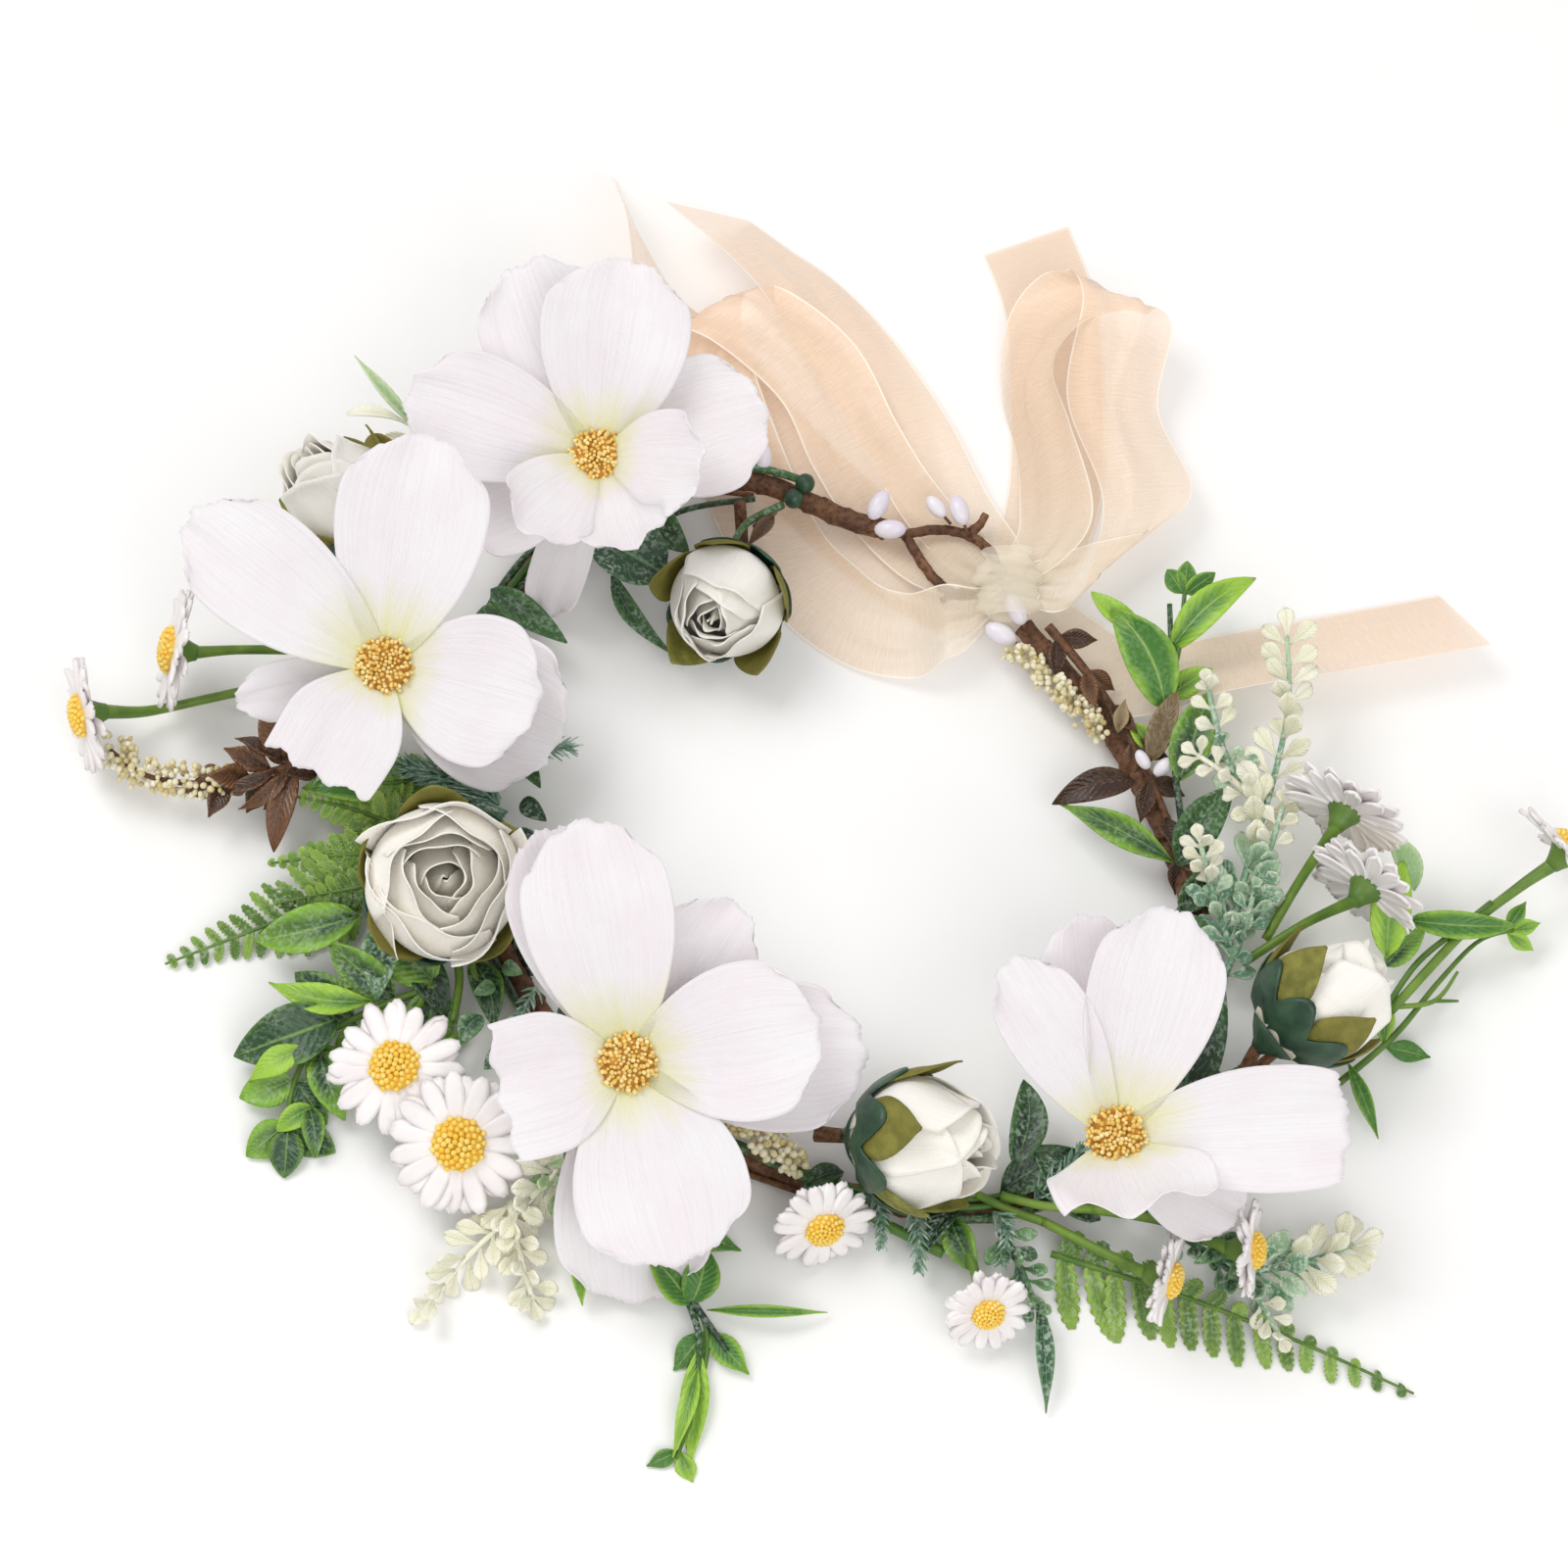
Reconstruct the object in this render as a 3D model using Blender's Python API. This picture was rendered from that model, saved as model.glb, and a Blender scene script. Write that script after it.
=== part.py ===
"""Flower crown: a taped wire hoop tied with an organza bow, trimmed with fabric and plastic flowers.

The crown lies on a table, which is z = 0. The origin is the centre of the head opening on that table,
+X is to the right of the head opening, +Y points towards the bow, and +Z is up.
Places and sizes in the tables are in millimetres; MM turns them into metres.
"""
import math

import bmesh
import bpy
from mathutils import Vector

MM = 0.001
GAP = 0.3                # clearance between touching pieces
FACING = (0.0, -0.42, 0.91)  # the way the big flower heads look

# Hoop: core wire in floral tape, from the right end round the front to the left end.
WIRE_RADIUS = 1.0
TAPE_RADIUS = 3.0
TAPE_BORE = WIRE_RADIUS + GAP
HOOP_STATIONS = 40
HOOP_PATH = [
    (49, 60, 8), (58, 49, 7), (68, 37, 5), (78, 18, 3.4), (87, -5, 3), (91, -27, 3), (91, -50, 3),
    (80, -72, 3), (60, -89, 3), (35, -97, 3), (7, -93, 3), (-22, -83, 3), (-50, -69, 3), (-71, -47, 3),
    (-84, -25, 3), (-92, -4, 3), (-95, 18, 3), (-93, 40, 3), (-87, 63, 3.4), (-74, 83, 5), (-54, 97, 7),
    (-36, 102, 8), (-18, 102, 8), (3, 92, 8), (14, 88.5, 8),
]
TAPE_ARCS = {"tape_wrap_right": (0, 13), "tape_wrap_front": (13, 26), "tape_wrap_back": (26, 39)}
TAPE_JOINT = 0.5         # how far each tape arc stops short of its neighbour
EYE_PATH = [
    (19, 87, 8), (27, 88.5, 8), (35, 87, 8), (41, 82, 8), (42, 76, 8), (37, 70, 8), (31, 70, 8), (25, 76, 8),
]
EYE_RADIUS = 1.5

# Tie ribbon: each station is (x, y, z, heading of the width direction, tilt of the width direction).
RIBBON_WIDTH = 25.0
RIBBON_THICKNESS = 0.5
KNOT_CENTRE = (45, 69, 15)
KNOT_SIZE = (8.5, 10.0, 4.5)
KNOT_LEVELS = (-65, -30, 0, 30, 65)  # latitudes of its rings
RIBBONS = {
    "ribbon_loop_left": [
        (36, 61, 11.4, 80, 0), (29, 60, 10.9, 88, 0), (20, 59.5, 4, 92, 0), (5, 66, 1.6, 64, 0),
        (-9, 84, 1.6, 25, 0), (-17, 108, 1.6, 12, 0), (-25, 130, 2.2, 15, 0), (-33, 147, 5, 25, 0),
        (-33, 153, 9, 30, 0), (-26, 148, 12.5, 35, 0), (-12, 132, 10, 38, 0), (0, 112, 2.9, 30, 0),
        (12, 98, 2.8, 42, 0), (24, 86, 2.8, 45, 0), (34, 76, 2.8, 45, 0),
    ],
    "ribbon_loop_right": [
        (55.5, 76, 14, -38, 0), (61, 90, 4, -12, 0), (59, 116, 2.6, 5, 0), (57, 137, 3.2, 0, 0),
        (66, 154, 8, -25, 0), (72, 157, 13, -30, 0), (78, 150, 17, -20, 0), (75, 122, 12, 0, 0),
        (83, 92, 10, 18, 0), (71, 76, 12, 42, 0), (57, 71, 15.5, 70, 0),
    ],
    "ribbon_tail_far_left": [
        (30, 74, 0.4, 60, 0), (8, 92, 0.4, 50, 0), (-16, 118, 0.4, 42, 0), (-34, 142, 1.2, 30, 0),
        (-40, 152, 5, 27, -14), (-46, 163, 10.5, 24, -40), (-53, 180, 13, 20, -65), (-60, 199, 12.6, 20, -70),
    ],
    "ribbon_tail_left": [
        (39, 83, 4.6, 10, 0), (31, 98, 4.6, 8, 0), (23, 121, 4.4, 12, 0), (10, 146, 2.4, 22, 0),
        (-2, 163, 1.6, 35, 0), (-16, 175, 1.2, 45, 0), (-32, 190, 0.4, 30, 0),
    ],
    "ribbon_tail_short": [
        (53, 82, 0.6, 0, 0), (59, 105, 0.4, 0, 0), (60, 135, 0.4, 0, 0), (59, 160, 0.4, 8, 0),
        (53, 181, 0.4, 15, 0),
    ],
    "ribbon_tail_right": [
        (56, 60, 0.25, 60, 0), (66, 56, 0.25, 70, 0), (80, 52, 0.25, 84, 0), (98, 51, 0.25, 92, 0),
        (130, 56, 0.25, 100, 0), (163, 63, 0.25, 102, 0),
    ],
}
RIBBON_STEPS = 3         # stations made between two listed ones

# Cosmos heads: petals are (angle, length, width), anticlockwise from the right.
PETAL_THICKNESS = 0.8
PETAL_ROWS = ((0.40, 0.66), (0.76, 1.0), (1.0, 0.55))  # (share of the length, share of the width)
HUB_RADIUS = 6.0
HUB_SPREAD = 20.0        # half of the angle that a petal's base takes up on the hub
HUB_GAP = 3.0            # least angle between the middle line of two petals and the base of either
FRONT_LIFT = 5.0
BACK_DROP = 3.0          # how far the back whorl lies behind the front one
STAMEN_RADIUS = 7.4
STAMEN_HEIGHT = 5.5
STAMEN_PROFILE = ((0.0, 0.80), (0.25, 1.0), (0.75, 0.95), (1.0, 0.60))  # shares of the height and radius
COSMOS_STEM = 1.3
CALYX_RADIUS = 5.0
COSMOS = {
    "back": {
        "head": (-60, 94, 36), "foot": (-60, 104, 10),
        "front": [(81, 46, 36), (162, 46, 30), (230, 24, 22), (293, 24, 20), (350, 26, 26)],
        "back": [(110, 50, 34), (16, 41, 34), (202, 33, 28), (255, 34, 14)],
    },
    "left": {
        "head": (-112, 36, 34), "foot": (-101, 46, 8),
        "front": [(142, 56, 29), (78, 54, 36), (345, 35, 34), (236, 24, 24)],
        "back": [(338, 42, 36), (189, 37, 24)],
    },
    "front": {
        "head": (-50, -70, 34), "foot": (-52, -60, 8),
        "front": [(100, 55, 34), (11, 43, 34), (286, 45, 36), (192, 30, 32)],
        "back": [(2, 54, 34), (272, 54, 34), (110, 56, 28), (55, 44, 24)],
    },
    "right": {
        "head": (66, -89, 34), "foot": (66, -78, 9),
        "front": [(76, 54, 30), (123, 45, 22), (2, 53, 26), (279, 18, 30)],
        "back": [(98, 50, 26), (325, 24, 20)],
    },
}

# Buds: centre of the bloom, the way it looks, its radius and its half height, and the foot of its stem.
BUD_SIDES = 12
SEPAL_SIDES = 10
SEPAL_THICKNESS = 0.8
SEPAL_CLEARANCE = 1.3
SEPAL_DROOP = 0.35       # share of the bloom's half height between a sepal's point and the notch beside it
SEPAL_LEVELS = (0.06, 0.2, 0.5)
SEAT_SHARE = 0.05        # share of the bloom's height where its cup's floor lies
BUD_STEM = 1.5
BUD_FULLNESS = 0.6       # under 1 fills the bloom's ends out
ROUND_LEVELS = (0.06, 0.2, 0.4, 0.6, 0.8, 0.94)
BUDS = {
    "ranunculus_left": {
        "centre": (-96, -19, 26), "axis": (0.1, -0.35, 0.93), "size": (19, 14), "foot": (-96, -12, 7.5),
    },
    "rosebud_front": {
        "centre": (22, -86, 23), "axis": (0.75, -0.3, 0.5), "size": (16, 18), "foot": (-4, -78, 8),
    },
    "rosebud_inner": {
        "centre": (-28, 59, 22), "axis": (-0.25, -0.7, 0.65), "size": (15, 15), "foot": (-24, 94, 13),
    },
    "rosebud_back": {
        "centre": (-127, 91, 24), "axis": (-0.6, 0.3, 0.7), "size": (14, 16), "foot": (-114, 80, 4),
    },
    "rosebud_right": {
        "centre": (119, -50, 27), "axis": (0.6, 0.35, 0.7), "size": (14, 17), "foot": (98, -68, 8),
    },
}

# Daisies: centre of the head, the way it looks, ray length, and the stem's stations from its foot.
DAISY_SIDES = 12
DAISY_BUTTON = 5.5
DAISY_STEM = 1.3
DAISIES = {
    "daisy_left_outer": {
        "head": (-189, 30, 18), "axis": (-0.93, -0.3, 0.2), "ray": 14,
        "stem": [(-140, 44, 9), (-160, 41, 5), (-175, 36, 8)],
    },
    "daisy_left_inner": {
        "head": (-167, 47, 21), "axis": (-0.95, 0.0, 0.3), "ray": 15,
        "stem": [(-139, 52, 11), (-152, 50, 15)],
    },
    "daisy_front_left_upper": {
        "head": (-107, -65, 18), "axis": (-0.1, -0.15, 0.98), "ray": 16,
        "stem": [(-92, -50, 3), (-101, -58, 6)],
    },
    "daisy_front_left_lower": {
        "head": (-91, -84, 16), "axis": (0.0, -0.42, 0.91), "ray": 17,
        "stem": [(-76, -64, 3), (-84, -73, 5)],
    },
    "daisy_front_middle": {
        "head": (-3, -104, 13), "axis": (0.25, -0.85, 0.45), "ray": 12,
        "stem": [(-4, -98.5, 7.6), (-4, -99, 9)],
    },
    "daisy_front_right_a": {
        "head": (79, -118, 15), "axis": (0.93, -0.3, 0.1), "ray": 10.5,
        "stem": [(50, -101, 8), (64, -109, 9)],
    },
    "daisy_front_right_b": {
        "head": (99, -111, 16), "axis": (0.97, -0.1, 0.2), "ray": 10.5,
        "stem": [(62, -99, 11), (80, -103, 13)],
    },
    "daisy_front_right_c": {
        "head": (36, -125, 12), "axis": (0.2, -0.8, 0.55), "ray": 10,
        "stem": [(30, -103, 5), (33, -112, 7)],
    },
    "daisy_right_upper": {
        "head": (126, -2, 31), "axis": (0.55, 0.8, 0.15), "ray": 15,
        "stem": [(107, -28, 10), (115, -16, 18)],
    },
    "daisy_right_lower": {
        "head": (131, -20, 25), "axis": (0.75, 0.62, 0.1), "ray": 15,
        "stem": [(101, -34, 9), (116, -26, 15)],
    },
    "daisy_far_right": {
        "head": (182, -8, 20), "axis": (0.7, 0.6, 0.4), "ray": 14,
        "stem": [(137, -47, 10), (156, -27, 13), (170, -16, 15)],
    },
}

# Sprays: a stem strip with leaves in pairs. "leaf" is (length, width, angle from the stem), "taper" is the
# share of the length left at the tip, "lift" raises each leaf's tip.
SPRAY_THICKNESS = 0.9
SPRAYS = {
    "fern_left": {
        "path": [(-104, -3, 7), (-122, -14, 6.5), (-143, -22, 4), (-167, -31, 1.5)],
        "pairs": 11, "leaf": (17, 3.2, 68), "taper": 0.1, "stem": 1.0, "lift": 0.5,
    },
    "eucalyptus_spray": {
        "path": [(-96, -38, 7), (-113, -45, 7), (-127, -53, 6), (-133, -64, 4.5), (-134, -76, 3)],
        "pairs": 5, "leaf": (18, 9, 62), "taper": 0.5, "stem": 1.2, "lift": 0.5,
    },
    "lavender_left": {
        "path": [(-64, -84, 8), (-76, -97, 7), (-88, -108, 5), (-98, -120, 3)],
        "pairs": 8, "leaf": (11, 4, 50), "taper": 0.5, "stem": 1.2, "lift": 1.0,
    },
    "leaf_spray_front": {
        "path": [(-42, -98, 3.2), (-37, -114, 3), (-31, -127, 2.5), (-33, -143, 2), (-38, -158, 1.2)],
        "pairs": 4, "leaf": (20, 7, 45), "taper": 0.4, "stem": 1.0, "lift": 0.0,
    },
    "fern_front": {
        "path": [(52, -108, 4.5), (82, -118, 4), (110, -129, 2.5), (138, -142, 1.2)],
        "pairs": 12, "leaf": (17, 4.2, 66), "taper": 0.1, "stem": 1.0, "lift": 0.0,
    },
    "leafy_spray_back_right": {
        "path": [(82, 22, 12.5), (84, 36, 14), (88, 50, 16), (90, 66, 18)],
        "pairs": 4, "leaf": (22, 9, 48), "taper": 0.6, "stem": 1.2, "lift": 1.5,
    },
    "lavender_right": {
        "path": [(98, -28, 10), (103, -10, 14), (110, 12, 20), (114, 30, 25), (114, 47, 29)],
        "pairs": 10, "leaf": (12, 4.5, 55), "taper": 0.6, "stem": 1.2, "lift": 1.0,
    },
    "leaf_spray_far_right": {
        "path": [(124, -64, 5), (138, -52, 6), (150, -38, 8), (160, -28, 9), (169, -25, 9)],
        "pairs": 4, "leaf": (17, 6, 50), "taper": 0.6, "stem": 1.0, "lift": 0.5,
    },
    "brown_berry_spray_left": {
        "path": [(-117, 18, 11), (-134, 19, 12), (-154, 14, 12), (-172, 16, 11), (-183, 24, 10)],
        "pairs": 9, "leaf": (12, 5, 55), "taper": 0.6, "stem": 1.5, "lift": 1.0,
    },
    "berry_twig_right": {
        "path": [(55, 57, 14.5), (66, 43, 12), (76, 26, 10), (84, 6, 8), (90, -18, 8)],
        "pairs": 9, "leaf": (10, 4, 50), "taper": 0.9, "stem": 1.5, "lift": 0.5,
    },
}
SPRAY_FINISH = {
    "fern_left": "fern_green", "fern_front": "fern_green", "lavender_left": "lavender_cream",
    "lavender_right": "lavender_cream", "brown_berry_spray_left": "brown_leaf",
    "berry_twig_right": "brown_leaf",
}
LEAF_BELLY = 0.55        # share of a leaf's length where it is widest
BERRY_SIDES = 10
BERRY_CLUSTER = {"centre": (-19, -74, 14), "axis": (0.3, -0.6, 0.75), "size": (10, 8)}

PALETTE = {
    "white_cloth": ((0.87, 0.82, 0.83), 0.6), "ivory_cloth": ((0.86, 0.83, 0.77), 0.6),
    "stamen_gold": ((0.68, 0.38, 0.03), 0.7), "olive_sepal": ((0.20, 0.20, 0.03), 0.6),
    "green_stem": ((0.20, 0.30, 0.03), 0.45), "daisy_white": ((0.85, 0.82, 0.80), 0.35),
    "leaf_green": ((0.12, 0.26, 0.05), 0.4), "fern_green": ((0.20, 0.42, 0.08), 0.4),
    "lavender_cream": ((0.80, 0.78, 0.62), 0.5), "brown_leaf": ((0.11, 0.04, 0.015), 0.3),
    "floral_tape": ((0.15, 0.06, 0.025), 0.75), "core_wire": ((0.35, 0.35, 0.36), 0.4),
    "organza": ((0.87, 0.66, 0.47), 0.45), "berry_cream": ((0.78, 0.72, 0.50), 0.5),
}


def clear_scene():
    """Remove every object that the scene starts with."""
    for thing in list(bpy.data.objects):
        bpy.data.objects.remove(thing, do_unlink=True)


def material(key):
    """The named material from the palette, made once."""
    found = bpy.data.materials.get(key)
    if found:
        return found
    colour, roughness = PALETTE[key]
    made = bpy.data.materials.new(key)
    made.use_nodes = True
    shader = made.node_tree.nodes["Principled BSDF"]
    shader.inputs["Base Color"].default_value = (*colour, 1.0)
    shader.inputs["Roughness"].default_value = roughness
    shader.inputs["Metallic"].default_value = 1.0 if key == "core_wire" else 0.0
    return made


def add_object(name, mesh_builder, finish, origin=(0, 0, 0)):
    """Turn a bmesh in millimetres into an object whose origin is at the given place.

    Every face is cut into triangles, so that none of them is bent.
    """
    bmesh.ops.recalc_face_normals(mesh_builder, faces=mesh_builder.faces[:])
    bmesh.ops.triangulate(mesh_builder, faces=mesh_builder.faces[:])
    for vert in mesh_builder.verts:
        vert.co = (vert.co - Vector(origin)) * MM
    mesh = bpy.data.meshes.new(name)
    mesh_builder.to_mesh(mesh)
    mesh_builder.free()
    mesh.materials.append(material(finish))
    made = bpy.data.objects.new(name, mesh)
    made.location = Vector(origin) * MM
    bpy.context.collection.objects.link(made)
    return made


def smooth_path(points, steps):
    """Catmull-Rom stations through the listed points, with the given number of steps between two."""
    count = len(points)
    rows = [Vector(p) for p in points]
    made = []
    for index in range(count - 1):
        before, start = rows[max(index - 1, 0)], rows[index]
        end, after = rows[index + 1], rows[min(index + 2, count - 1)]
        for step in range(steps):
            t = step / steps
            made.append(0.5 * (
                2 * start + (end - before) * t
                + (2 * before - 5 * start + 4 * end - after) * t * t
                + (3 * start - before - 3 * end + after) * t ** 3
            ))
    made.append(rows[-1])
    return made


def even_path(points, count):
    """Stations an equal length apart along the smooth curve through the points."""
    fine = smooth_path(points, 8)
    lengths = [0.0]
    for a, b in zip(fine, fine[1:]):
        lengths.append(lengths[-1] + (b - a).length)
    made = []
    for index in range(count):
        target = lengths[-1] * index / (count - 1)
        low = max(i for i, length in enumerate(lengths[:-1]) if length <= target + 1e-9)
        share = (target - lengths[low]) / (lengths[low + 1] - lengths[low])
        made.append(fine[low].lerp(fine[low + 1], share))
    return made


def tangents(path, closed=False):
    """The direction of travel at each station."""
    count = len(path)
    made = []
    for index in range(count):
        after = path[(index + 1) % count] if closed else path[min(index + 1, count - 1)]
        before = path[(index - 1) % count] if closed else path[max(index - 1, 0)]
        made.append((after - before).normalized())
    return made


def sweep(name, sections, sides, finish, closed=False):
    """Loft rings into one closed solid.

    A section is (centre, axis, radius, notch, droop): every second corner is drawn in by notch and moved
    back along the axis by droop, which gives rays and sepal points.
    """
    builder = bmesh.new()
    rings = []
    side = None
    for centre, axis, radius, notch, droop in sections:
        axis = Vector(axis).normalized()
        reference = side if side is not None else Vector((1.0, 0.13, 0.07))
        side = (reference - axis * reference.dot(axis)).normalized()
        other = axis.cross(side)
        ring = []
        for corner in range(sides):
            turn = 2 * math.pi * corner / sides
            odd = corner % 2
            reach = (side * math.cos(turn) + other * math.sin(turn)) * (radius - notch * odd)
            ring.append(builder.verts.new(Vector(centre) + reach - axis * droop * odd))
        rings.append(ring)
    pairs = list(zip(rings, rings[1:]))
    if closed:
        pairs.append((rings[-1], rings[0]))
    for lower, upper in pairs:
        for corner in range(sides):
            follow = (corner + 1) % sides
            builder.faces.new((lower[corner], lower[follow], upper[follow], upper[corner]))
    if not closed:
        builder.faces.new(rings[0])
        builder.faces.new(rings[-1])
    made = add_object(name, builder, finish, sections[0][0])
    made.data.shade_smooth()
    return made


def ring(centre, axis, radius, notch=0.0, droop=0.0):
    """One section of a sweep."""
    return (Vector(centre), Vector(axis), radius, notch, droop)


def sheet(name, builder, thickness, finish, origin):
    """A thin solid: the open surface in the builder, thickened equally to both sides."""
    made = add_object(name, builder, finish, origin)
    solidify = made.modifiers.new("Thickness", "SOLIDIFY")
    solidify.thickness = thickness * MM
    solidify.offset = 0.0
    return made


def axes_of(facing):
    """Right, up and forward directions of a head that looks along facing."""
    forward = Vector(facing).normalized()
    right = (Vector((1, 0, 0)) - forward * forward.x).normalized()
    return right, forward.cross(right), forward


def build_hoop():
    """The core wire and the tape arcs that are wound round it."""
    path = even_path(HOOP_PATH, HOOP_STATIONS)
    ways = tangents(path)
    sweep("hoop_core_wire", [ring(p, w, WIRE_RADIUS) for p, w in zip(path, ways)], 6, "core_wire")
    for name, (first, last) in TAPE_ARCS.items():
        stations = list(zip(path[first:last + 1], ways[first:last + 1]))
        start, way = stations[0]
        stations[0] = (start + way * TAPE_JOINT, way)
        end, way = stations[-1]
        stations[-1] = (end - way * TAPE_JOINT, way)
        outer = [ring(p, w, TAPE_RADIUS) for p, w in stations]
        inner = [ring(p, w, TAPE_BORE) for p, w in reversed(stations)]
        sweep(name, outer + inner, 8, "floral_tape", closed=True)


def build_eye():
    """The wrapped fork at the hoop's left end, closed into an eye for the ribbon."""
    path = [Vector(p) for p in EYE_PATH]
    ways = tangents(path, closed=True)
    sweep("hoop_end_eye", [ring(p, w, EYE_RADIUS) for p, w in zip(path, ways)], 6, "floral_tape", closed=True)


def build_knot():
    """The bow's knot, a rounded lump over the hoop's two ends."""
    centre = Vector(KNOT_CENTRE)
    wide, long, high = KNOT_SIZE
    levels = [math.radians(a) for a in KNOT_LEVELS]
    sections = [ring((0, 0, high * math.sin(a)), (0, 0, 1), math.cos(a)) for a in levels]
    made = sweep("ribbon_knot", sections, 12, "organza")
    base = sections[0][0]
    for vert in made.data.vertices:
        place = vert.co / MM + base
        vert.co = Vector((place.x * wide, place.y * long, place.z)) * MM
    made.location = centre * MM


def build_ribbon(name, stations):
    """A flat ribbon whose width direction is given by heading and tilt at each station."""
    centres = smooth_path([s[:3] for s in stations], RIBBON_STEPS)
    turns = smooth_path([(s[3], s[4], 0) for s in stations], RIBBON_STEPS)
    builder = bmesh.new()
    rows = []
    for centre, turn in zip(centres, turns):
        heading, tilt = math.radians(turn.x), math.radians(turn.y)
        across = Vector((
            math.cos(heading) * math.cos(tilt), math.sin(heading) * math.cos(tilt), math.sin(tilt),
        ))
        half = across * RIBBON_WIDTH / 2
        rows.append([builder.verts.new(centre - half), builder.verts.new(centre + half)])
    for (a, b), (c, d) in zip(rows, rows[1:]):
        builder.faces.new((a, b, d, c))
    sheet(name, builder, RIBBON_THICKNESS, "organza", stations[0][:3])


def build_whorl(name, head, petals, depth, lift):
    """One layer of petals: a hub with a blade on each side, as a single thin solid."""
    right, up, forward = axes_of(FACING)
    centre = Vector(head) - forward * depth
    builder = bmesh.new()
    middle = builder.verts.new(centre)
    ordered = sorted(petals)
    rims = []
    for index, (angle, length, width) in enumerate(ordered):
        before = (angle - ordered[index - 1][0]) % 360
        after = (ordered[(index + 1) % len(ordered)][0] - angle) % 360
        spread = min(HUB_SPREAD, before / 2 - HUB_GAP, after / 2 - HUB_GAP)
        base = []
        for turn in (-spread, 0, spread):
            theta = math.radians(angle + turn)
            base.append(builder.verts.new(
                centre + (right * math.cos(theta) + up * math.sin(theta)) * HUB_RADIUS
            ))
        theta = math.radians(angle)
        along = right * math.cos(theta) + up * math.sin(theta)
        across = forward.cross(along)
        row = base
        for share, breadth in PETAL_ROWS:
            spot = centre + along * (HUB_RADIUS + (length - HUB_RADIUS) * share) + forward * lift * share ** 2
            half = across * width / 2 * breadth
            follow = [builder.verts.new(spot - half), builder.verts.new(spot), builder.verts.new(spot + half)]
            for k in range(2):
                builder.faces.new((row[k], row[k + 1], follow[k + 1], follow[k]))
            row = follow
        rims.extend(base)
        halfway = math.radians(angle + after / 2)
        between = right * math.cos(halfway) + up * math.sin(halfway)
        rims.append(builder.verts.new(centre + between * HUB_RADIUS))
    for a, b in zip(rims, rims[1:] + rims[:1]):
        builder.faces.new((middle, a, b))
    sheet(name, builder, PETAL_THICKNESS, "white_cloth", centre)


def build_cosmos(label, plan):
    """A cosmos head: two whorls, the stamen cushion and the calyx with its stem."""
    head = Vector(plan["head"])
    forward = Vector(FACING).normalized()
    prefix = "cosmos_" + label
    build_whorl(prefix + "_front_petals", head, plan["front"], 0.0, FRONT_LIFT)
    build_whorl(prefix + "_back_petals", head, plan["back"], BACK_DROP, 0.0)
    base = head + forward * (PETAL_THICKNESS / 2 + GAP)
    sweep(prefix + "_stamens", [
        ring(base + forward * STAMEN_HEIGHT * height, forward, STAMEN_RADIUS * radius)
        for height, radius in STAMEN_PROFILE
    ], 12, "stamen_gold")
    top = head - forward * (BACK_DROP + PETAL_THICKNESS / 2 + GAP)
    foot = Vector(plan["foot"])
    neck = top - forward * 9.0
    sweep(prefix + "_stem", [
        ring(foot, neck - foot, COSMOS_STEM), ring(neck, neck - foot, COSMOS_STEM),
        ring(top - forward * 5.0, forward, CALYX_RADIUS / 2),
        ring(top - forward * 1.5, forward, CALYX_RADIUS), ring(top, forward, CALYX_RADIUS),
    ], 8, "green_stem")


def bud_radius(radius, share):
    """A bloom's radius at a share of its height: full near the middle, drawn in at the top."""
    return radius * math.sin(math.pi * share) ** BUD_FULLNESS


def build_bud(name, plan):
    """A bud: the bloom, and the cup of sepals with its stem."""
    centre = Vector(plan["centre"])
    axis = Vector(plan["axis"]).normalized()
    radius, half = plan["size"]
    sweep(name + "_bloom", [
        ring(centre + axis * half * (2 * share - 1), axis, bud_radius(radius, share))
        for share in ROUND_LEVELS
    ], BUD_SIDES, "ivory_cloth")
    clear = (radius + SEPAL_CLEARANCE) / math.cos(math.pi / SEPAL_SIDES) - radius
    bottom = centre - axis * half
    foot = Vector(plan["foot"])
    outer, inner = [], []
    for share in SEPAL_LEVELS:
        droop = half * SEPAL_DROOP if share == SEPAL_LEVELS[-1] else 0.0
        place = bottom + axis * half * 2 * share
        reach = bud_radius(radius, share) + clear
        outer.append(ring(place, axis, reach + SEPAL_THICKNESS, 0.0, droop))
        inner.append(ring(place, axis, reach, 0.0, droop))
    seat = bottom + axis * half * SEAT_SHARE
    neck = seat - axis * 4.0
    start = [
        ring(foot, neck - foot, BUD_STEM), ring(neck, axis, BUD_STEM * 1.2),
        ring(seat - axis * 1.6, axis, bud_radius(radius, SEAT_SHARE)),
    ]
    floor = [ring(seat - axis * 0.3, axis, bud_radius(radius, SEAT_SHARE))]
    sweep(name + "_sepals", start + outer + inner[::-1][:2] + floor, SEPAL_SIDES, "olive_sepal")


def build_daisy(name, plan):
    """A daisy: stem, ray disc and button in one solid."""
    head = Vector(plan["head"])
    axis = Vector(plan["axis"]).normalized()
    ray = plan["ray"]
    neck = head - axis * 5.0
    stations = [Vector(p) for p in plan["stem"]] + [neck]
    sections = [ring(p, w, DAISY_STEM) for p, w in zip(stations, tangents(stations))]
    sections += [
        ring(head - axis * 3.0, axis, DAISY_STEM * 2), ring(head - axis * 1.2, axis, DAISY_BUTTON * 0.8),
        ring(head - axis * 0.5, axis, ray, ray * 0.25), ring(head + axis * 0.5, axis, ray, ray * 0.25),
        ring(head + axis * 0.9, axis, DAISY_BUTTON), ring(head + axis * 3.2, axis, DAISY_BUTTON * 0.7),
    ]
    sweep(name, sections, DAISY_SIDES, "daisy_white")


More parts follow.
